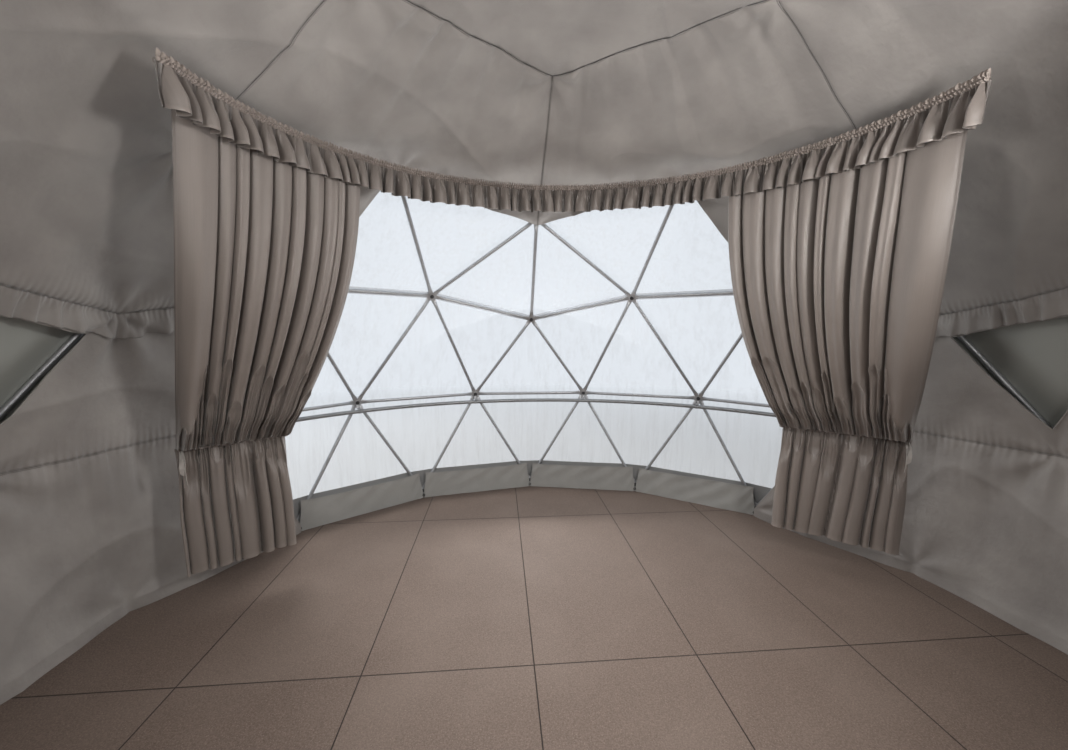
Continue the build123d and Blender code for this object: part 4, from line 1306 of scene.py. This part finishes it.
# creases that run from the tie and end in a rounded dent
def tieCreases(edges, rng, reach):
    found = []
    for start, wide in zip(edges[:-1], np.diff(edges)):
        if wide > 0.18:
            found += [(start + wide * s, wide * half, r, d) for s, half, r, d in broadCreases]
            continue
        found.append((start + wide * rng.uniform(0.40, 0.60), wide * rng.uniform(0.33, 0.42), rng.uniform(*reach),
                      rng.uniform(0.8, 1.15)))
        for side in (0.20, 0.80):
            found.append((start + wide * (side + rng.uniform(-0.04, 0.04)), wide * 0.12,
                          reach[0] * rng.uniform(0.3, 1.0), rng.uniform(0.5, 0.8)))
    return found


def creased(u, away, creases, depth):
    total = np.zeros(len(u))
    for spot, half, reach, strength in creases:
        grown = np.sqrt(np.clip((reach - away) / 0.07, 0, 1)) * (0.55 + 0.45 * np.clip(away / 0.15, 0, 1))
        x = np.abs(u - spot) / (half * (0.10 + 0.90 * grown) + 1e-6)
        nested = 0.35 * hump(x - 0.42, 0.13) * np.clip((reach - away - 0.08) / 0.1, 0, 1)
        dish = -grown * (np.clip(1 - x * x, 0, None) - nested)
        total += depth * strength * (dish + 0.55 * grown * hump(x - 1.10, 0.24))
    return total


# a curtain on the +X side: u runs from its outer edge to its inner one, v from the rail to the hem
def curtainCloth(place):
    c, seed = curtainShape, place["seed"]
    rng = np.random.default_rng(seed)
    edges = unevenEdges(c["broad"], c["folds"], rng, 0.55, 1.45)
    strength = np.concatenate([[0.85], rng.uniform(0.75, 1.15, c["folds"])])
    lean = np.concatenate([[0.1], rng.uniform(-1.0, 1.0, c["folds"])])
    hangEdges = unevenEdges(0, c["hangFolds"], rng, 0.45, 1.6)
    hangStrength = rng.uniform(0.6, 1.15, c["hangFolds"])
    upper, lower = tieCreases(edges, rng, c["upperReach"]), tieCreases(hangEdges, rng, c["lowerReach"])
    tieOuter, tieInner = planSpot(*place["tieOuter"]), planSpot(*c["tieInner"])

    # the smooth sheet: its plan from the rail to the tie, the way along it and the way into the room
    def sweptPath(u, above, onRail):
        power = place["sweep"][0] + (place["sweep"][1] - place["sweep"][0]) * softStep(0, 1, u)
        atTie = tieOuter + (tieInner - tieOuter) * u[:, None]
        path = onRail + (atTie - onRail) * (above ** power)[:, None]
        tangent = np.gradient(path.reshape(-1, c["columns"] + 1, 2), axis=1)
        lengths = np.linalg.norm(tangent, axis=2)
        tangent = (tangent / lengths[:, :, None]).reshape(-1, 2)
        inwards = np.stack([-tangent[:, 1], tangent[:, 0]], 1)
        inwards = np.where(((inwards * path).sum(1) > 0)[:, None], -inwards, inwards)
        return path, tangent, inwards, lengths.sum(axis=1).repeat(c["columns"] + 1)

    def shape(u, v):
        railAngle = np.radians(place["railOuter"] + (c["railInner"] - place["railOuter"]) * u)
        onRail = np.stack([np.sin(railAngle), -np.cos(railAngle)], 1) * c["railRadius"]
        topEdge = rail["height"] - 0.0105 - (onRail[:, 1] + rail["radius"]) * math.sin(math.radians(rail["tilt"]))
        height = topEdge - (topEdge - c["hem"]) * v
        above = np.clip((topEdge - height) / (topEdge - tieHeight), 0, 1)
        toTie = height - tieHeight
        up, down = np.maximum(toTie, 0), np.maximum(-toTie, 0)
        path, tangent, inwards, width = sweptPath(u, above, onRail)

        # above the tie: rounded folds with deep narrow gaps, split by creases near the tie
        ends = np.clip(np.minimum(u, 1 - u) / 0.06, 0, 1)
        drifted = u + 0.011 * wander(u * 8, above * 1.5, 0, seed) * ends
        fold, phase, wide = foldPhase(drifted, edges)
        size = (c["railDepth"] + (c["midDepth"] - c["railDepth"]) * softStep(0.0, 0.5, above)) * strength[fold]
        size = size * (1 + 0.26 * wander(u * 9, above * 2.2, 1, seed + 3)) * (0.42 + 0.58 * softStep(0.0, 0.20, toTie))
        dents = creased(drifted, up, upper, c["crease"])
        falls = size * (roundFold(phase) + 0.10 * np.cos(2 * phase + strength[fold] * 9)) + dents
        fallsAside = width * wide * (0.04 * np.sin(phase) + 0.10 * lean[fold] * (1 + roundFold(phase)))
        # below the tie: looser folds that slant and open towards the hem
        slanted = np.clip(u + (0.07 * wander(u * 3, down * 2.2, 2, seed + 5) + 0.03 * down) * ends, 0, 1)
        hangFold, hangPhase, hangWide = foldPhase(slanted, hangEdges)
        hangSize = c["hangDepth"] * hangStrength[hangFold] * (0.30 + 0.70 * softStep(0.0, 0.28, down))
        hangs = hangSize * roundFold(hangPhase) + creased(slanted, down, lower, c["crease"] * 0.8)
        hangsAside = width * hangWide * (0.04 * np.sin(hangPhase) + 0.12 * lean[hangFold] * (1 + roundFold(hangPhase)))
        hangsAside -= c["flare"] * softStep(0, 0.5, down) * (1 - 2 * u)

        gathers = np.cos(2 * math.pi * 21 * u + 3 * wander(u * 9, 0, 0, seed + 11))
        gathers *= 0.7 + 0.4 * wander(u * 12, 0, 0, seed + 12)
        falls += 0.007 * gathers * np.exp(-up / 0.05)
        hangs += 0.012 * gathers * np.exp(-down / 0.11)
        under = softStep(-0.012, 0.012, -toTie)
        depth, aside = falls + (hangs - falls) * under, fallsAside + (hangsAside - fallsAside) * under
        # painted shade: darkest in the narrow gaps between folds and in the dents of the creases
        hollow = (0.5 - 0.5 * roundFold(phase)) * (1 - under) + (0.5 - 0.5 * roundFold(hangPhase)) * under
        dentShade = np.clip(-dents - 0.012, 0, 0.03) * (1 - under)
        place["hollow"] = np.clip(1.2 * np.clip(hollow, 0, 1) ** 1.6 + 15 * dentShade, 0, 1)
        near = hump(toTie, 0.017)
        depth = depth * (1 - near) + near * 0.013 * np.tanh(depth / 0.013)
        bulge = hump(toTie - 0.15, 0.13) * softStep(0.0, 0.05, toTie)
        bulge += 0.25 * hump(down - 0.10, 0.08) * softStep(0.0, 0.05, down)
        pouch = c["pouch"] * hump(toTie - 0.10, 0.07) * hump(u - 0.10, 0.08)
        depth = depth + c["bulge"] * bulge + pouch + 0.0018 * wander(u * 40, height * 9, 0, seed + 8)
        soft = softStep(0.0, 0.02, np.minimum(u, 1 - u))
        plan = path + inwards * (depth * (0.35 + 0.65 * soft))[:, None] + tangent * (aside * soft)[:, None]
        slump = c["slump"] * hump(toTie - 0.045, 0.035) * np.clip(0.5 + 15 * depth, 0, 1) * (toTie > 0)
        hemWave = 0.007 * wander(u * 14, 0, 4, seed + 7) * softStep(0.9, 1.0, v)
        return np.column_stack([plan, height - slump + hemWave])

    return shape


# levels are closest above the tie
tieLevel = (rail["height"] - tieHeight) / (rail["height"] - curtainShape["hem"])
fineFrom, fineTo = tieLevel - 0.26, tieLevel + 0.07
curtainLevels = np.concatenate([np.linspace(0, fineFrom, 19)[:-1], np.linspace(fineFrom, fineTo, 74)[:-1],
                                np.linspace(fineTo, 1, 17)])
for name, place in curtainSides.items():
    obj, u, v = sheetFrom(name, curtainCloth(place), evenly(curtainShape["columns"]), curtainLevels)
    if place["side"] < 0:
        mirrorX(obj)
        obj.data.flip_normals()
    uvFromPoints(obj, u * curtainShape["cloth"], v * curtainShape["length"])
    edge = np.minimum(np.minimum(u, 1 - u) * curtainShape["cloth"], (1 - v) * curtainShape["length"])
    pointValue(obj, "hem", 1 - softStep(0.012, 0.020, edge))
    pointValue(obj, "hollow", place["hollow"])
    area = thicken(obj, curtainShape["thickness"])
    finishPiece(obj, [place["node"]], curtain)
    print(name, "cloth area", round(area, 2))

# narrow band round each gathered curtain, and two tape ends that hang from it
tieShape = {"drop": 0.002, "height": 0.015, "thickness": 0.0025, "halfDepth": 0.019, "tapeWidth": 0.024,
            "tapeLength": 0.17, "tapeThickness": 0.0018, "tapeStand": 0.120, "tapeSteps": 30}


# both ends of the gathered curtain at its tie, and the ways along and across it
def tieLine(place):
    outer, inner = planSpot(*place["tieOuter"]), planSpot(*curtainShape["tieInner"])
    along = unit(inner - outer)
    return outer, inner, along, np.array([-along[1], along[0]])


def tieBand(place):
    outer, inner, along, across = tieLine(place)
    outer = outer + along * 0.018
    half, length = tieShape["halfDepth"], np.linalg.norm(inner - outer)
    run = np.linspace(0, length, 60, endpoint=False)[:, None]
    bow = np.linspace(0, math.pi, 14, endpoint=False)[:, None]
    bent = (across * np.cos(bow) + along * np.sin(bow)) * half
    outline = np.concatenate([outer + along * run + across * half, inner + bent,
                              outer + along * (length - run) - across * half, outer - bent])
    out = outline - (outer + inner) / 2
    out /= np.linalg.norm(out, axis=1)[:, None]
    n, s = (grid.ravel() for grid in np.meshgrid(np.arange(len(outline)), np.linspace(-0.5, 0.5, 6)))
    ripple = 0.0022 * np.sin(n * 1.9) + 0.0016 * np.sin(n * 0.7 + s * 3)
    height = tieHeight - tieShape["drop"] + s * tieShape["height"] + 0.0015 * np.sin(n * 0.5)
    points = np.column_stack([outline[n] + out[n] * ripple[:, None], height])
    obj = addMesh("tieBand", points, gridFaces(6, len(outline), True))
    uvFromPoints(obj, n * 0.012, s * tieShape["height"])
    return obj


def tapeEnd(place, start, length, bend, phase):
    outer, _, along, side = tieLine(place)
    side = -side if side @ outer > 0 else side

    def shape(k, s):
        stand = tieShape["halfDepth"] + 0.006 + tieShape["tapeStand"] * np.minimum(1, s * 4) + start * 0.6
        swing = stand + bend * np.sin(2.6 * s + phase * 0.3) * s + 0.002 * (1 - k * k)
        twist = 0.5 + 0.9 * np.sin(2.2 * s + phase)
        half = k * tieShape["tapeWidth"] * (0.35 + 0.65 * np.minimum(1, s * 5)) / 2
        spot = outer + along * (0.030 - start) + along * (np.cos(twist) * half)[:, None]
        spot = spot + side * (swing + np.sin(twist) * half)[:, None]
        drop = tieShape["tapeLength"] * length * s + 0.012 * (k + 1) * (s > 0.95)
        return np.column_stack([spot, tieHeight + 0.006 - drop])

    obj, _, s = sheetFrom("tapeEnd", shape, (-1, -0.33, 0.33, 1), evenly(tieShape["tapeSteps"]))
    across = np.tile((0, 0.33, 0.66, 1), tieShape["tapeSteps"] + 1)
    uvFromPoints(obj, across * tieShape["tapeWidth"], s * tieShape["tapeLength"])
    return obj


bands, tapes = [], []
for place in curtainSides.values():
    bands.append(tieBand(place))
    tapes += [tapeEnd(place, 0.0, 1.0, 0.020, 0.0), tapeEnd(place, 0.012, 0.72, 0.030, 1.9)]
    if place["side"] < 0:
        for obj in (bands[-1], *tapes[-2:]):
            mirrorX(obj)
for name, parts, nodes, thickness, width, held, surface in (
        ("tiebacks", bands, ["tiebacks"], tieShape["thickness"], tieShape["height"], "gathered", curtain),
        ("tiebackTapes", tapes, [], tieShape["tapeThickness"], tieShape["tapeWidth"], "hung", tape)):
    obj = joinAs(name, parts)
    pointValue(obj, "hem", 0.0)
    with editing(obj):
        bpy.ops.mesh.normals_make_consistent(inside=False)
    area = thicken(obj, thickness)
    finishPiece(obj, nodes, surface)
print("curtains ready")

# light and camera
light = {"world": 0.40, "sky": (0.96, 0.98, 1.0, 1), "shown": (0.80, 0.85, 0.91, 1)}
white, warm = (1, 1, 1), (1.0, 0.98, 0.96)
# power, size, place, aim, colour, and whether it shows as a highlight
lamps = {"windowLamp": (43.0, 2.2, (0.0, -2.42, 1.35), (0, 1.0, 2.3), white, False),
         "topLamp": (3.5, 1.0, (0.0, -0.5, 3.15), (0, -0.6, 0), warm, True),
         "rightLamp": (37.0, 0.4, (-1.35, 1.0, 2.45), (1.7, -1.3, 1.5), warm, True),
         "leftLamp": (18.0, 0.4, (1.35, 1.0, 2.45), (-1.7, -1.3, 1.5), warm, True),
         "backLeftLamp": (6.0, 0.5, (0.9, 1.75, 2.1), (1.5, -0.8, 1.6), warm, True),
         "backRightLamp": (6.0, 0.5, (-0.9, 1.75, 2.1), (-1.5, -0.8, 1.6), warm, True),
         "outsideLamp": (540.0, 5.0, (5.5, -6.5, 8.5), (0, 0, 1.0), white, False),
         "backLamp": (260.0, 5.0, (-5.5, 6.5, 8.5), (0, 0, 1.0), white, False)}
world = bpy.data.worlds.new("paleStudio")
bpy.context.scene.world = world
world.use_nodes = True
world.node_tree.nodes.clear()
sky = Nodes(world.node_tree)
rays = [sky.add("ShaderNodeLightPath", output=f"Is {kind} Ray") for kind in ("Camera", "Glossy", "Transmission")]
lit = sky.add("ShaderNodeBackground", {}, {"Color": light["sky"], "Strength": light["world"]})
shown = sky.add("ShaderNodeBackground", {}, {"Color": light["shown"], "Strength": 1.0})
mixed = sky.add("ShaderNodeMixShader", {}, {0: rays[0].most(rays[1]).most(rays[2]), 1: lit, 2: shown})
sky.put(sky.tree.nodes.new("ShaderNodeOutputWorld").inputs[0], mixed)

for name, (power, size, place, aim, colour, glossy) in lamps.items():
    lamp = bpy.data.lights.new(name, "AREA")
    lamp.shape, lamp.size, lamp.energy, lamp.color = "DISK", size, power, colour
    obj = addObject(name, lamp)
    obj.location = place
    obj.rotation_euler = (Vector(aim) - Vector(place)).to_track_quat("-Z", "Y").to_euler()
    obj.visible_camera, obj.visible_glossy = False, glossy

ground = {"half": 60.0, "colour": (0.80, 0.82, 0.84, 1), "fadeFrom": 5.0, "fadeTo": 13.0}
deselectAll()
bpy.ops.mesh.primitive_plane_add(size=2 * ground["half"], location=(0, 0, -0.001))
floor = placeInMesh(bpy.context.object)
floor.name = "paleFloor"
pale = Finish("paleFloor", Base_Color=ground["colour"], Roughness=0.9)
x, y, _ = pale.split(pale.places())
fade = (x * x + y * y).root().between(ground["fadeFrom"], ground["fadeTo"])
glow = pale.add("ShaderNodeEmission", {}, {"Color": light["shown"], "Strength": 1.0})
seen = pale.add("ShaderNodeLightPath", output="Is Camera Ray")
surface = pale.add("ShaderNodeMixShader", {}, {0: fade * seen, 1: Wire(pale, pale.shader.outputs[0]), 2: glow})
pale.put(next(n for n in pale.tree.nodes if n.type == "OUTPUT_MATERIAL").inputs["Surface"], surface)
floor.data.materials.append(pale.material)

view = {"place": (0.340, 1.747, 1.836), "yaw": -0.0808, "pitch": -0.1462, "roll": 0.0011, "lens": 13.98,
        "shift": (0.001, 0.0178)}
lens = bpy.data.cameras.new("photoCamera")
lens.sensor_width, lens.sensor_fit, lens.lens, lens.clip_start = 36, "HORIZONTAL", view["lens"], 0.01
lens.shift_x, lens.shift_y = view["shift"]
camera = addObject("photoCamera", lens)
ahead = Vector((math.sin(view["yaw"]) * math.cos(view["pitch"]), -math.cos(view["yaw"]) * math.cos(view["pitch"]),
                math.sin(view["pitch"])))
camera.location = view["place"]
camera.rotation_euler = (ahead.to_track_quat("-Z", "Y").to_matrix() @ Matrix.Rotation(view["roll"], 3, "Z")).to_euler()
bpy.context.scene.camera = camera
bpy.context.scene.view_settings.view_transform = "Standard"
print("light and camera ready")
